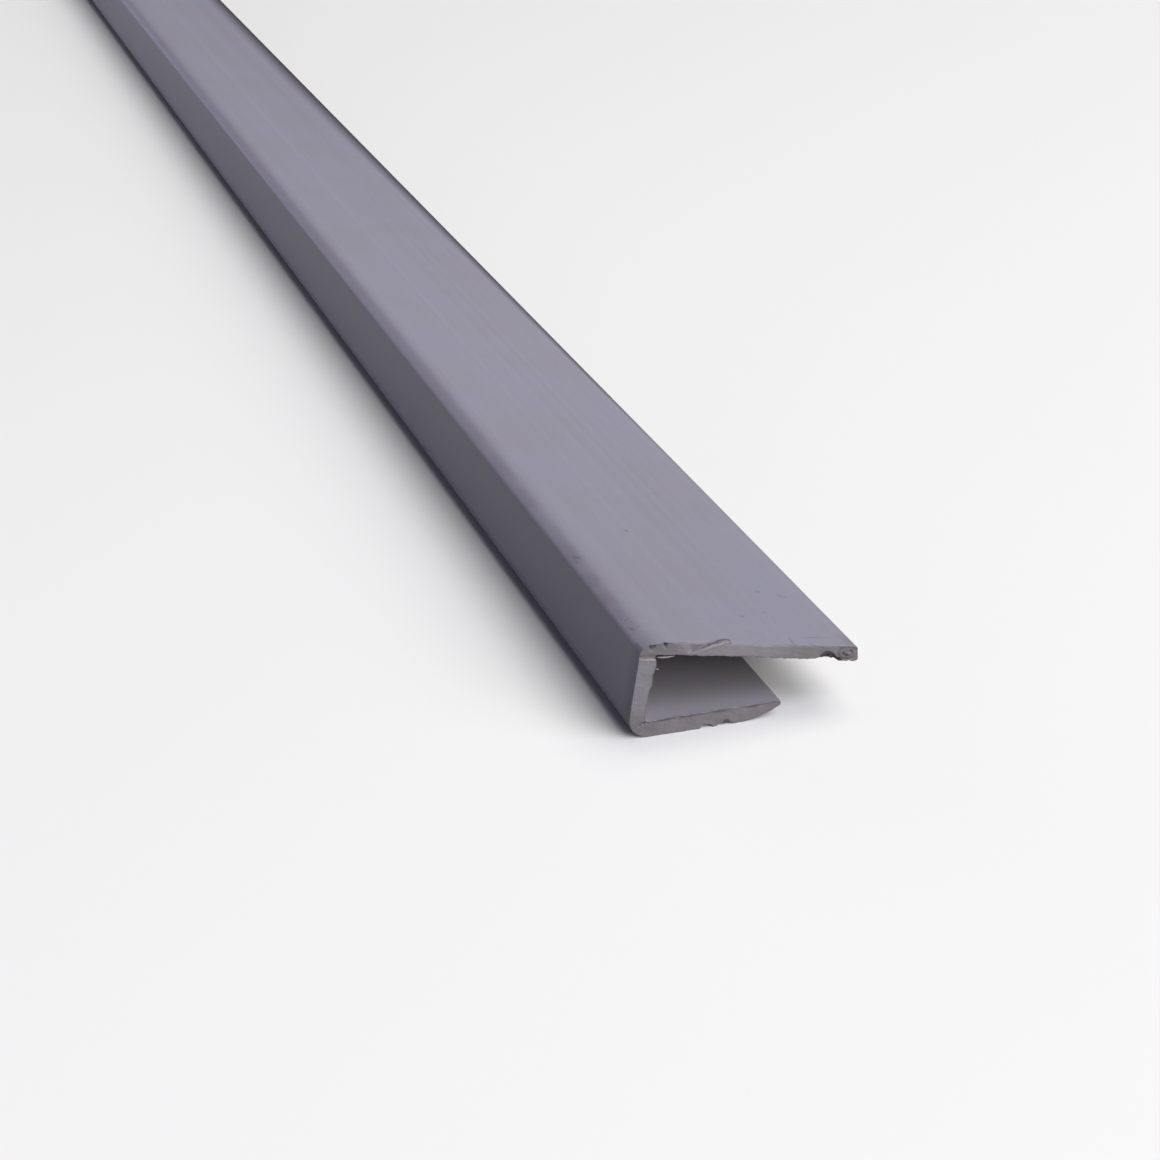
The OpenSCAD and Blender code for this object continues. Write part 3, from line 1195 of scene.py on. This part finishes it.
# a painted shadow in the slit along the tear
SLIT_PAINTED_SHADOW = 0.36
SLIT_HUMP = (0.02, 0.12)
SLIT_BAND = (-0.1, 0.5, 2.5, 2.9)
# how dark, then the hump between the knob's middle and rim, or up the web
KNOB_DARK_RINGS = [(0.3, (1.0, 0.18)), (0.22, (0.5, 0.15))]
KNOB_DARK = 0.1
KNOB_DARK_FADES = (24.3, 24.8)
# a painted shadow under the top arris by the knob
ARRIS_SHADOW_DARK = 0.2
ARRIS_SHADOW_HUMP = (11.3, 0.08)
ARRIS_SHADOW_BAND = (22.5, 22.9, 24.1, 24.4)
# painted shade in the seams of the groove, where its step faces away from the light
SEAMS = [(0.22, (9.8, 0.09)), (0.08, (9.6, 0.16))]
RIM_DARK = 0.2
# painted shade along the lower rims and the lip's inner rim
LOWER_RIM_PAINTED_SHADE = 0.75
LOWER_RIM_BELOW = 5.0
LIP_RIM_PAINTED_SHADE = 0.85
LIP_RIM_ACROSS = (0.84, 0.98)
LIP_PART_BELOW = 5.5


def painted_highlights(u, v):
    """Painted highlights on the ridge beside the tear and on the lower lip of the groove."""
    run, side = along_line(u, v, TEAR_START, TEAR_END)
    ridge = hump(side, *RIDGE_HUMP) * band(run, *RIDGE_BAND)
    groove_lip = hump(groove_level(u, v), *GROOVE_LIP_HUMP) * ramp(u, *GROOVE_LIP_STARTS) * (u < WEB_CUT_W)
    return np.maximum(RIDGE_HIGHLIGHT * ridge, GROOVE_LIP_HIGHLIGHT * groove_lip)


def marks_painted_shade(u, v):
    """Painted shadow in the slit of the tear, painted shade on the knob and in the seams of the groove, and
    a painted shadow under the top arris by the knob.
    """
    run, side = along_line(u, v, TEAR_START, TEAR_END)
    slit = SLIT_PAINTED_SHADOW * hump(side, *SLIT_HUMP) * band(run, *SLIT_BAND)
    ring = knob_ring(u, v)
    knob = KNOB_DARK * (ring < 1.0) + sum(dark * hump(ring, *where) for dark, where in KNOB_DARK_RINGS)
    knob *= 1 - 0.5 * ramp(u, *KNOB_DARK_FADES)
    streak = ARRIS_SHADOW_DARK * hump(v, *ARRIS_SHADOW_HUMP) * band(u, *ARRIS_SHADOW_BAND)
    level = groove_level(u, v)
    seams = sum(dark * hump(level, *where) for dark, where in SEAMS) * (u < WEB_CUT_W)
    return np.maximum.reduce([slit, knob, streak, seams])


def rim_grime_and_shade(v, across, start):
    """Patchy darkening on the rims of the cut: a little grime on all of them, and painted shade along the
    lower rims and the lip's inner rim, where the arrises lie in shadow.
    """
    outer = across < 0.001
    inner = across > 0.999
    lower = inner & (v > FLANGE_ABOVE) | outer & (v < LOWER_RIM_BELOW)
    on_lip = (start[:, 1] < LIP_PART_BELOW) & (start[:, 0] > WEB_T)
    lip_rim = ramp(across, *LIP_RIM_ACROSS) * on_lip
    rims = [RIM_DARK * (outer | inner), LOWER_RIM_PAINTED_SHADE * lower, LIP_RIM_PAINTED_SHADE * lip_rim]
    return np.maximum.reduce(rims) * np.clip(0.75 + 0.9 * grain(start, 0.9, 11), 0.1, 1.0)


# the rims carry a little grime and, on the lower ones, painted shade
print("grime on the rims, from", RIM_DARK, "to", LIP_RIM_PAINTED_SHADE)

# %% Painted shade in the corners, and grime behind the cut
# how dark, then where each ramp begins and ends, up, across or along
TOP_CORNER_DARK = 0.15
TOP_CORNER_UP = (9.75, 9.95)
TOP_CORNER_ACROSS = (2.8, 5.0)
FOOT_CORNER_DARK = 0.12
FOOT_CORNER_UP = (2.2, 4.6)
FOOT_CORNER_ACROSS = (2.4, 5.0)
NOSE_DARK = 0.1
NOSE_ACROSS = (14.0, 16.5)
WEB_SIDE_DARK = 0.42
WEB_SIDE_W = 0.3
WEB_SIDE_ALONG = (0.6, 3.6)
CROWN_DARK = 0.08
CROWN_ACROSS = (1.6, 3.2)
FREE_EDGE_DARK = 0.18
FREE_EDGE_ACROSS = (23.2, 24.2)
TOP_ABOVE = 10.4
TOP_ALONG = (1.5, 5.0)


def corner_painted_shade(u, v):
    """Faint painted shade where the web's cut meets the flange's and the lip's, and a slight darkening on
    the nose.
    """
    top = TOP_CORNER_DARK * ramp(v, *TOP_CORNER_UP) * (1 - ramp(u, *TOP_CORNER_ACROSS))
    foot = FOOT_CORNER_DARK * (1 - ramp(v, *FOOT_CORNER_UP)) * (1 - ramp(u, *FOOT_CORNER_ACROSS))
    return top + foot + NOSE_DARK * (v < LIP_PART_BELOW) * ramp(u, *NOSE_ACROSS)


def skin_grime(u, v, along, across):
    """Grime on the outer skin just behind the cut, down the web and on both edges of the top."""
    web = WEB_SIDE_DARK * (u < WEB_SIDE_W) * (1 - ramp(along, *WEB_SIDE_ALONG)) * (along > 0.05)
    top = CROWN_DARK * (1 - ramp(u, *CROWN_ACROSS)) + FREE_EDGE_DARK * ramp(u, *FREE_EDGE_ACROSS)
    top *= (v > TOP_ABOVE) * (1 - ramp(along, *TOP_ALONG)) * (along > 0.3)
    return np.maximum(web, top) * (across < 0.001)


print("grime down the web's side:", WEB_SIDE_DARK)

# %% [markdown]
# ## Wearing the near end
#
# Now the parts come together. The outline is worn, the cut sinks to its depth, and the rings
# behind it are drawn along, so no face folds over. The chips come last, and each one says which
# points it moved: their faces get the sawn finish.

# %% Move the points of the near end
DAMAGE_REACH = 4.0
ON_CUT_MM = 0.001
PIT_GRIME_REACH = 0.3
PIT_GRIME = 2.4
SCORE_DARK = 0.5
SCORE_DARK_HALF_W = 0.1
# the painted shade in a chip's recess fades towards its top
CHIP_DARK_FADES = (slot_ceiling + 0.05, slot_ceiling + 0.7)
CHIP_DARK_FADES_BY = 0.6


def chipped_places(places, v, rough):
    """Places pushed back by the chips and the arris, which ones moved, and how dark they are with dirt and
    painted shade.
    """
    torn = np.zeros(len(places), bool)
    dark = np.zeros(len(places))
    deep_dark = 1 - CHIP_DARK_FADES_BY * ramp(v, *CHIP_DARK_FADES)
    for centre, radii, dirt_and_shade in CHIPS.values():
        places, inside = scooped(places, centre, radii, rough)
        torn |= inside
        dark = np.maximum(dark, inside * dirt_and_shade * deep_dark)
    places, inside = planed_arris(places, rough)
    return places, torn | inside, dark


def wear_near_end(mesh):
    """Gives the near cut its depth and chips, writes both masks and says which points chipped."""
    points = read_places(mesh).astype(float)
    near = np.flatnonzero(points[:, 1] < near_y + DAMAGE_REACH * MM)
    u, v = upright(points[near, 0] / MM, points[near, 2] / MM)
    along = (points[near, 1] - near_y) / MM
    across = read_numbers(mesh, "across")[near]
    on_cut = along < ON_CUT_MM
    start = np.stack([u, v, along], 1)

    u, v = worn_outline(u, v, along, across, start)
    sunk = along + cut_depth(u, v) * (1 - along / DAMAGE_REACH)
    rough = CHIP_ROUGHNESS * (grain(start, 0.55, 6) + 0.5 * grain(start, 0.25, 7))
    moved, torn, chip_dirt_and_shade = chipped_places(np.stack([u, v, sunk], 1), v, rough)
    x, z = lie(moved[:, 0], moved[:, 1])
    points[near] = np.stack([x * MM, moved[:, 2] * MM + near_y, z * MM], 1)
    write_places(mesh, points)

    pit_grime = np.zeros(len(near))
    for pit_u, pit_v, half_width, pit_depth in PITS:
        spot = hump(np.hypot(u - pit_u, v - pit_v), 0.0, half_width) * (along < PIT_GRIME_REACH)
        pit_grime = np.maximum(pit_grime, spot * min(1.0, PIT_GRIME * pit_depth))
    cut_grime_and_shade = np.maximum.reduce([
        marks_painted_shade(u, v),
        rim_grime_and_shade(v, across, start),
        corner_painted_shade(u, v),
        SCORE_DARK * scored_line(u, v, SCORE_DARK_HALF_W),
    ]) * on_cut
    grime_and_shade = np.maximum.reduce([chip_dirt_and_shade, pit_grime, cut_grime_and_shade, skin_grime(u, v, along, across)])
    for name, values in (("grime_and_shade", grime_and_shade), ("torn_and_highlight", painted_highlights(u, v) * on_cut)):
        all_values = np.zeros(len(points))
        all_values[near] = values
        write_numbers(mesh, name, all_values)
    chipped = np.zeros(len(points))
    chipped[near] = torn
    return chipped


chipped = wear_near_end(trim.data)
print("points that a chip moved:", int(chipped.sum()))

# %% Give chipped faces the sawn finish
MOSTLY = 0.6


def finish_chips(mesh, chipped):
    """Sets the sawn material on every face whose points were mostly moved by a chip."""
    corners = np.empty(len(mesh.loops), np.int32)
    mesh.loops.foreach_get("vertex_index", corners)
    share = chipped[corners].reshape(-1, 4).mean(1)
    slots = np.empty(len(mesh.polygons), np.int32)
    mesh.polygons.foreach_get("material_index", slots)
    slots[share > MOSTLY] = mesh.materials.find(sawn.name)
    mesh.polygons.foreach_set("material_index", slots)
    mesh.update()


finish_chips(trim.data, chipped)
print("materials on the trim:", [m.name for m in trim.data.materials])

# %% [markdown]
# ## The far cut
#
# The other end is out of the photograph, so it is a plain saw cut of the same kind: fine marks
# of the teeth and nothing broken. Its face only sinks by a few hundredths of a millimetre.

# %% Saw marks on the far cut
FAR_CUT_MM = 0.05
FAR_FACE_MM = 0.01


def mark_far_end(mesh):
    """Shallow saw marks across the far cut face."""
    points = read_places(mesh)
    far = np.flatnonzero(points[:, 1] > near_y + trim_length - FAR_FACE_MM * MM)
    u, v = upright(points[far, 0] / MM, points[far, 2] / MM)
    places = np.stack([u, v, 0 * v + 50.0], 1)
    waves = tooth_waves(u, v, 2 * grain(places, 3.0, 8))
    depth = FAR_CUT_MM * (0.5 + 0.3 * waves + 0.2 * grain(places, 0.6, 9))
    points[far, 1] -= np.clip(depth, 0.0, 1.0) * MM
    write_places(mesh, points)
    return len(far)


print("points on the far cut:", mark_far_end(trim.data))

# %% [markdown]
# ## Shavings that the saw lifted
#
# A dull saw leaves strings of plastic hanging on the cut. The largest one here rises from the
# tear and curls over the top edge. Each is a thin tapering strip along a short smooth path, a
# loft of small lens-shaped rings with pointed ends. Its points are few, and they are listed.
# One strip of the same loft, tear_shade, is no shaving: it lies dark along the slit of the tear as a
# painted shadow.

# %% Loft a shaving along a path
RING_SIDES = 8
PATH_STEPS = 6
TAPER = 0.55
TAPER_UNEVEN = 0.3


def smooth_path(stops, steps):
    """Points on a smooth curve through the stops, with a cubic between each two of them."""
    stops = np.array(stops, float)
    padded = np.concatenate([[2 * stops[0] - stops[1]], stops, [2 * stops[-1] - stops[-2]]])
    path = []
    for i in range(len(stops) - 1):
        a, b, c, d = padded[i:i + 4]
        for t in np.linspace(0.0, 1.0, steps, endpoint=False):
            path.append(0.5 * (2 * b + (c - a) * t + (2 * a - 5 * b + 4 * c - d) * t**2
                               + (3 * b - a - 3 * c + d) * t**3))
    path.append(stops[-1])
    return np.array(path)


def turn_outwards(mesh):
    """Recalculates the normals of a closed shell so that they point out."""
    shell = bmesh.new()
    shell.from_mesh(mesh)
    bmesh.ops.recalc_face_normals(shell, faces=shell.faces)
    shell.to_mesh(mesh)
    shell.free()


def shaving(name, stops, half_height, half_depth, seed):
    """A closed tapering strip through stops given across, up and along, in upright millimetres."""
    path = smooth_path(stops, PATH_STEPS)
    share = np.clip(np.linspace(0.0, 1.0, len(path)), 0.02, 0.98)
    taper = np.sin(math.pi * share) ** TAPER * (1 + TAPER_UNEVEN * grain(path, 0.4, seed))
    tangent = np.gradient(path, axis=0)
    normal = np.stack([-tangent[:, 1], tangent[:, 0]], 1)
    normal /= np.linalg.norm(normal, axis=1)[:, None] + 1e-9
    points = []
    for place, across, size in zip(path, normal, taper):
        for angle in np.linspace(0.0, 2 * math.pi, RING_SIDES, endpoint=False):
            rise = half_height * size * math.cos(angle)
            x, z = lie(place[0] + across[0] * rise, place[1] + across[1] * rise)
            y = max(0.0, place[2] + half_depth * size * math.sin(angle))
            points.append((x * MM, near_y + y * MM, z * MM))
    faces = []
    for ring in range(len(path) - 1):
        for side in range(RING_SIDES):
            a = ring * RING_SIDES + side
            b = ring * RING_SIDES + (side + 1) % RING_SIDES
            faces.append((a, b, b + RING_SIDES, a + RING_SIDES))
    faces.append(tuple(reversed(range(RING_SIDES))))
    faces.append(tuple(range(len(points) - RING_SIDES, len(points))))
    mesh = bpy.data.meshes.new(name)
    mesh.from_pydata(points, [], faces)
    mesh.validate()
    turn_outwards(mesh)
    mesh.materials.append(sawn)
    return new_object(name, mesh)


print("each ring of a shaving has", RING_SIDES, "points")

# %% The shavings of this cut
# stops across, up and along, then half height, half depth, and how pale it looks as torn plastic with a
# painted highlight; 0 makes it dark
SHAVINGS = {
    "tear_curl": ([
        (6.3, 10.36, 0.26), (6.95, 10.6, 0.22), (7.6, 10.88, 0.18), (8.2, 11.13, 0.15),
        (8.87, 11.38, 0.15), (9.4, 11.53, 0.2), (9.75, 11.5, 0.28),
    ], 0.15, 0.11, 0.5),
    # a dark strip that stands for the shadow along the tear: a painted shadow
    "tear_shade": ([
        (5.9, 10.26, 0.3), (6.8, 10.75, 0.3), (7.76, 11.26, 0.3), (8.88, 11.77, 0.3),
        (9.56, 11.86, 0.32), (9.93, 11.7, 0.36), (10.18, 11.38, 0.4),
    ], 0.08, 0.14, 0.0),
    "corner_burr": ([
        (1.95, 9.68, 0.26), (2.4, 9.7, 0.2), (3.1, 9.75, 0.2), (4.0, 9.88, 0.28),
    ], 0.09, 0.14, 0.45),
    "web_fleck": ([(1.9, 8.42, 0.2), (2.14, 8.37, 0.14), (2.38, 8.35, 0.18)], 0.06, 0.07, 0.4),
    "knob_curl": ([
        (23.1, 9.98, 0.2), (23.6, 9.86, 0.14), (24.2, 9.95, 0.14), (24.6, 10.1, 0.24),
    ], 0.07, 0.12, 0.15),
}
SHAVING_SEED = 20
# how dark a strip with no pale share is: the painted shadow of tear_shade
TEAR_SHADOW_DARK = 0.6
shavings = []
for number, (name, (stops, half_height, half_depth, pale)) in enumerate(SHAVINGS.items()):
    piece = shaving(name, stops, half_height, half_depth, number + SHAVING_SEED)
    count = len(piece.data.vertices)
    write_numbers(piece.data, "torn_and_highlight", np.full(count, pale))
    write_numbers(piece.data, "grime_and_shade", np.full(count, 0.0 if pale > 0 else TEAR_SHADOW_DARK))
    shavings.append(piece)
print("shavings:", len(shavings))

# %% [markdown]
# ## Crumbs along the lower rims
#
# Where the teeth came out of the plastic they left a fringe of tiny crumbs along the inner rim
# of the cut. Dozens of small like things along a line are a job for Geometry Nodes: the rim
# becomes a curve, points are spread on it, and a slim cone is laid along the rim on some of
# them, with a random swerve and size from a fixed seed.

# %% The rim of the cut as a line of edges


def inner_rim(mesh, first, last):
    """The worn inner rim of the cut between two stations, as an object of edges."""
    points = read_places(mesh)
    station = read_numbers(mesh, "station")
    on_rim = np.abs(read_numbers(mesh, "across") - 1.0) < 0.01
    front = {}
    for i in np.flatnonzero(on_rim & (station >= first) & (station <= last)):
        key = int(round(float(station[i])))
        if key not in front or points[i, 1] < points[front[key], 1]:
            front[key] = i
    line = [tuple(float(c) for c in points[front[key]]) for key in sorted(front)]
    rim = bpy.data.meshes.new("rim")
    rim.from_pydata(line, [(i, i + 1) for i in range(len(line) - 1)], [])
    return new_object("rim", rim)


web_start = nose_steps + lip_steps
flange_start = web_start + lip_corner_steps + web_steps + bend_steps
flange_rim = inner_rim(trim.data, flange_start, len(outer_path) - 1)
web_rim = inner_rim(trim.data, web_start, flange_start)
print("points on the flange's lower rim:", len(flange_rim.data.vertices))

# %% The tree that spreads crumbs
CRUMB_SIDES = 5
CRUMB_SWERVE = ((-0.2, -0.2, -0.2), (0.2, 0.1, 0.2))
CRUMB_SCALE = ((0.5, 0.5, 1.0), (1.0, 1.0, 3.0))


def crumb_tree():
    """Small cones at random on a line of edges, turned and sized at random."""
    tree, given = new_geometry_tree("crumbs_on_a_rim", {
        "Spacing": "Float", "Crumb length": "Float", "Left on": "Float", "Seed": "Int", "Sawn": "Material",
    })
    curve = add_node(tree, "GeometryNodeMeshToCurve", {"Mesh": given["Geometry"]})
    spots = add_node(tree, "GeometryNodeCurveToPoints", {
        "Curve": curve, "Length": given["Spacing"],
    }, mode="LENGTH")
    cone = add_node(tree, "GeometryNodeMeshCone", {
        "Vertices": CRUMB_SIDES,
        "Radius Top": 0.0,
        "Radius Bottom": product(tree, given["Crumb length"], 0.5),
        "Depth": given["Crumb length"],
    }, fill_type="TRIANGLE_FAN")
    swerve = add_node(tree, "FunctionNodeRandomValue", {
        0: CRUMB_SWERVE[0], 1: CRUMB_SWERVE[1], "Seed": given["Seed"],
    }, data_type="FLOAT_VECTOR")
    heading = add_node(tree, "ShaderNodeVectorMath", {
        0: spots.outputs["Tangent"], 1: swerve,
    }, operation="ADD")
    other_seed = add_node(tree, "ShaderNodeMath", {0: given["Seed"], 1: 1.0}, operation="ADD")
    size = add_node(tree, "FunctionNodeRandomValue", {
        0: CRUMB_SCALE[0], 1: CRUMB_SCALE[1], "Seed": other_seed,
    }, data_type="FLOAT_VECTOR")
    left_on = add_node(tree, "FunctionNodeRandomValue", {
        "Probability": given["Left on"], "Seed": other_seed,
    }, data_type="BOOLEAN")
    placed = add_node(tree, "GeometryNodeInstanceOnPoints", {
        "Points": spots,
        "Selection": left_on,
        "Instance": cone,
        "Rotation": add_node(tree, "FunctionNodeAlignRotationToVector", {"Vector": heading}, axis="Z"),
        "Scale": size,
    })
    real = add_node(tree, "GeometryNodeRealizeInstances", {"Geometry": placed})
    finished = add_node(tree, "GeometryNodeSetMaterial", {"Geometry": real, "Material": given["Sawn"]})
    add_node(tree, "NodeGroupOutput", {"Geometry": finished})
    return tree


print("a crumb is a cone with", CRUMB_SIDES, "sides")

# %% Crumbs on both rims
CRUMBS_LEFT_ON = 0.3
# the crumbs are darkened with the lower rim, as part of its painted shade
CRUMB_DARK = 0.4
# rim, spacing and length in millimetres, seed
CRUMB_RIMS = [(flange_rim, 0.25, 0.11, 3), (web_rim, 0.3, 0.12, 11)]
crumbs = []
for rim, spacing, length, seed in CRUMB_RIMS:
    made = realised(rim, crumb_tree(), {
        "Spacing": spacing * MM,
        "Crumb length": length * MM,
        "Left on": CRUMBS_LEFT_ON,
        "Seed": seed,
        "Sawn": sawn,
    }, "crumbs")
    write_numbers(made.data, "grime_and_shade", np.full(len(made.data.vertices), CRUMB_DARK))
    crumbs.append(made)
print("crumb faces:", sum(len(c.data.polygons) for c in crumbs))

# %% [markdown]
# ## One piece of trim
#
# Shavings and crumbs hang on the trim and are the same plastic, so all of it is joined to one
# object. Faces are shaded smooth, and edges sharper than a limit stay crisp. The dressed trim
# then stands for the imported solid.

SHARP_ANGLE = 38.0


def join_into(target, others):
    """Joins objects to a target, with their attributes and materials."""
    with bpy.context.temp_override(
        active_object=target, object=target,
        selected_objects=[target, *others], selected_editable_objects=[target, *others],
    ):
        bpy.ops.object.join()


join_into(trim, [*shavings, *crumbs])
write_places(trim.data, read_places(trim.data))
trim.data.polygons.foreach_set("use_smooth", [True] * len(trim.data.polygons))
trim.data.set_sharp_from_angle(angle=math.radians(SHARP_ANGLE))
trim.data.update()
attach(trim, "root")
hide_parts("edge_trim")
print("triangles in the trim:", sum(len(p.vertices) - 2 for p in trim.data.polygons))

# %% [markdown]
# ## The floor
#
# The trim lies on a plain pale floor. To the camera and in reflections the floor is nearly
# white, but the light that it throws back on the trim is that of a dull grey one. Otherwise a
# white floor would fill the dark side of the web, which is what gives the trim its shape.

# %% Floor
FLOOR_HALF = 6.0
FLOOR_SEEN = (0.95, 0.95, 0.925, 1.0)
FLOOR_FELT = (0.15, 0.15, 0.15, 1.0)


def pale_floor():
    """A large plane that is pale to look at and dull as a source of light."""
    s = FLOOR_HALF
    mesh = bpy.data.meshes.new("floor")
    mesh.from_pydata([(-s, -s, 0), (s, -s, 0), (s, s, 0), (-s, s, 0)], [], [(0, 1, 2, 3)])
    material = bpy.data.materials.new("pale_floor")
    material.use_nodes = True
    tree = material.node_tree
    tree.nodes.clear()
    path = add_node(tree, "ShaderNodeLightPath").outputs
    seen = path["Is Camera Ray"]
    for ray in ("Is Glossy Ray", "Is Transmission Ray"):
        seen = add_node(tree, "ShaderNodeMath", {0: seen, 1: path[ray]}, operation="MAXIMUM")
    dull = add_node(tree, "ShaderNodeBsdfDiffuse", {"Color": FLOOR_FELT})
    pale = add_node(tree, "ShaderNodeBsdfDiffuse", {"Color": FLOOR_SEEN})
    mix = add_node(tree, "ShaderNodeMixShader", {0: seen, 1: dull, 2: pale})
    add_node(tree, "ShaderNodeOutputMaterial", {"Surface": mix})
    mesh.materials.append(material)
    return new_object("floor", mesh)


pale_floor()
print("floor is", 2 * FLOOR_HALF, "m wide")

# %% [markdown]
# ## Light
#
# The photograph shows a bright top, cut faces nearly as bright, and a dark web. Light that
# fades with depth inside the slot comes in low from the front. So a large cool softbox stands in
# front and to the right like a window, a smaller warm one lies low in front, and one hangs
# overhead on the right. All of them leave the web in shade. A low strip far behind on the left
# lifts the far part of the web and is mirrored in the corner over it, where the skin turns from
# the floor to the horizon. The world adds a little light from all round.

# %% Softboxes and world
# place, what it aims at, width, height, watts, colour
SOFTBOXES = {
    "front_softbox": ((0.9, -1.75, 1.5), (0.0, -0.3, 0.0), 2.2, 2.0, 47.5, (0.9, 0.9, 1.0)),
    "low_softbox": ((0.6, -2.2, 0.6), (0.0, -0.4, 0.0), 1.4, 0.6, 18.0, (1.0, 0.97, 0.88)),
    "overhead_softbox": ((0.9, 0.2, 2.0), (0.0, 0.0, 0.0), 1.6, 1.6, 19.5, (1.0, 0.98, 0.9)),
    "back_strip": ((-0.95, 1.75, 0.3), (0.0, 0.0, 0.0), 2.0, 0.48, 8.8, (0.68, 0.66, 1.0)),
}
WORLD_COLOUR = (0.046, 0.045, 0.0575, 1.0)


def softbox(name, place, aim, width, height, watts, colour):
    """A rectangular area lamp turned towards a point."""
    lamp = bpy.data.lights.new(name, "AREA")
    lamp.shape = "RECTANGLE"
    lamp.size = width
    lamp.size_y = height
    lamp.energy = watts
    lamp.color = colour
    obj = new_object(name, lamp)
    obj.location = place
    obj.rotation_euler = (Vector(aim) - Vector(place)).to_track_quat("-Z", "Y").to_euler()
    obj.visible_camera = False


for name, settings in SOFTBOXES.items():
    softbox(name, *settings)
world = bpy.data.worlds.new("studio")
world.use_nodes = True
world.node_tree.nodes["Background"].inputs["Color"].default_value = WORLD_COLOUR
bpy.context.scene.world = world
print("softboxes:", ", ".join(SOFTBOXES))

# %% [markdown]
# ## The camera
#
# The place and turn of the camera were fitted to the photograph's long edges and to the outline
# of the cut. It stands less than 30 cm from the near cut, to the left of it and above.

# %% Camera
CAMERA_PLACE = (-0.089391, -0.735864, 0.125783)
CAMERA_DOWN = 23.3535
CAMERA_AZIMUTH = -16.7819
CAMERA_ROLL = 1.1705
LENS_MM = 80.8
SENSOR_MM = 36.0
CLIP_START = 0.01

camera_data = bpy.data.cameras.new("camera")
camera_data.sensor_width = SENSOR_MM
camera_data.lens = LENS_MM
camera_data.clip_start = CLIP_START
camera = new_object("camera", camera_data)
camera.location = CAMERA_PLACE
turn = Matrix.Rotation(math.radians(CAMERA_AZIMUTH), 4, "Z")
turn = turn @ Matrix.Rotation(math.radians(90.0 - CAMERA_DOWN), 4, "X")
turn = turn @ Matrix.Rotation(math.radians(-CAMERA_ROLL), 4, "Z")
camera.rotation_euler = turn.to_euler()
bpy.context.scene.camera = camera
bpy.context.scene.view_settings.view_transform = "Standard"
print("camera to the cut in mm:", round(math.dist(CAMERA_PLACE, (0.0, near_y, 0.0)) / MM))
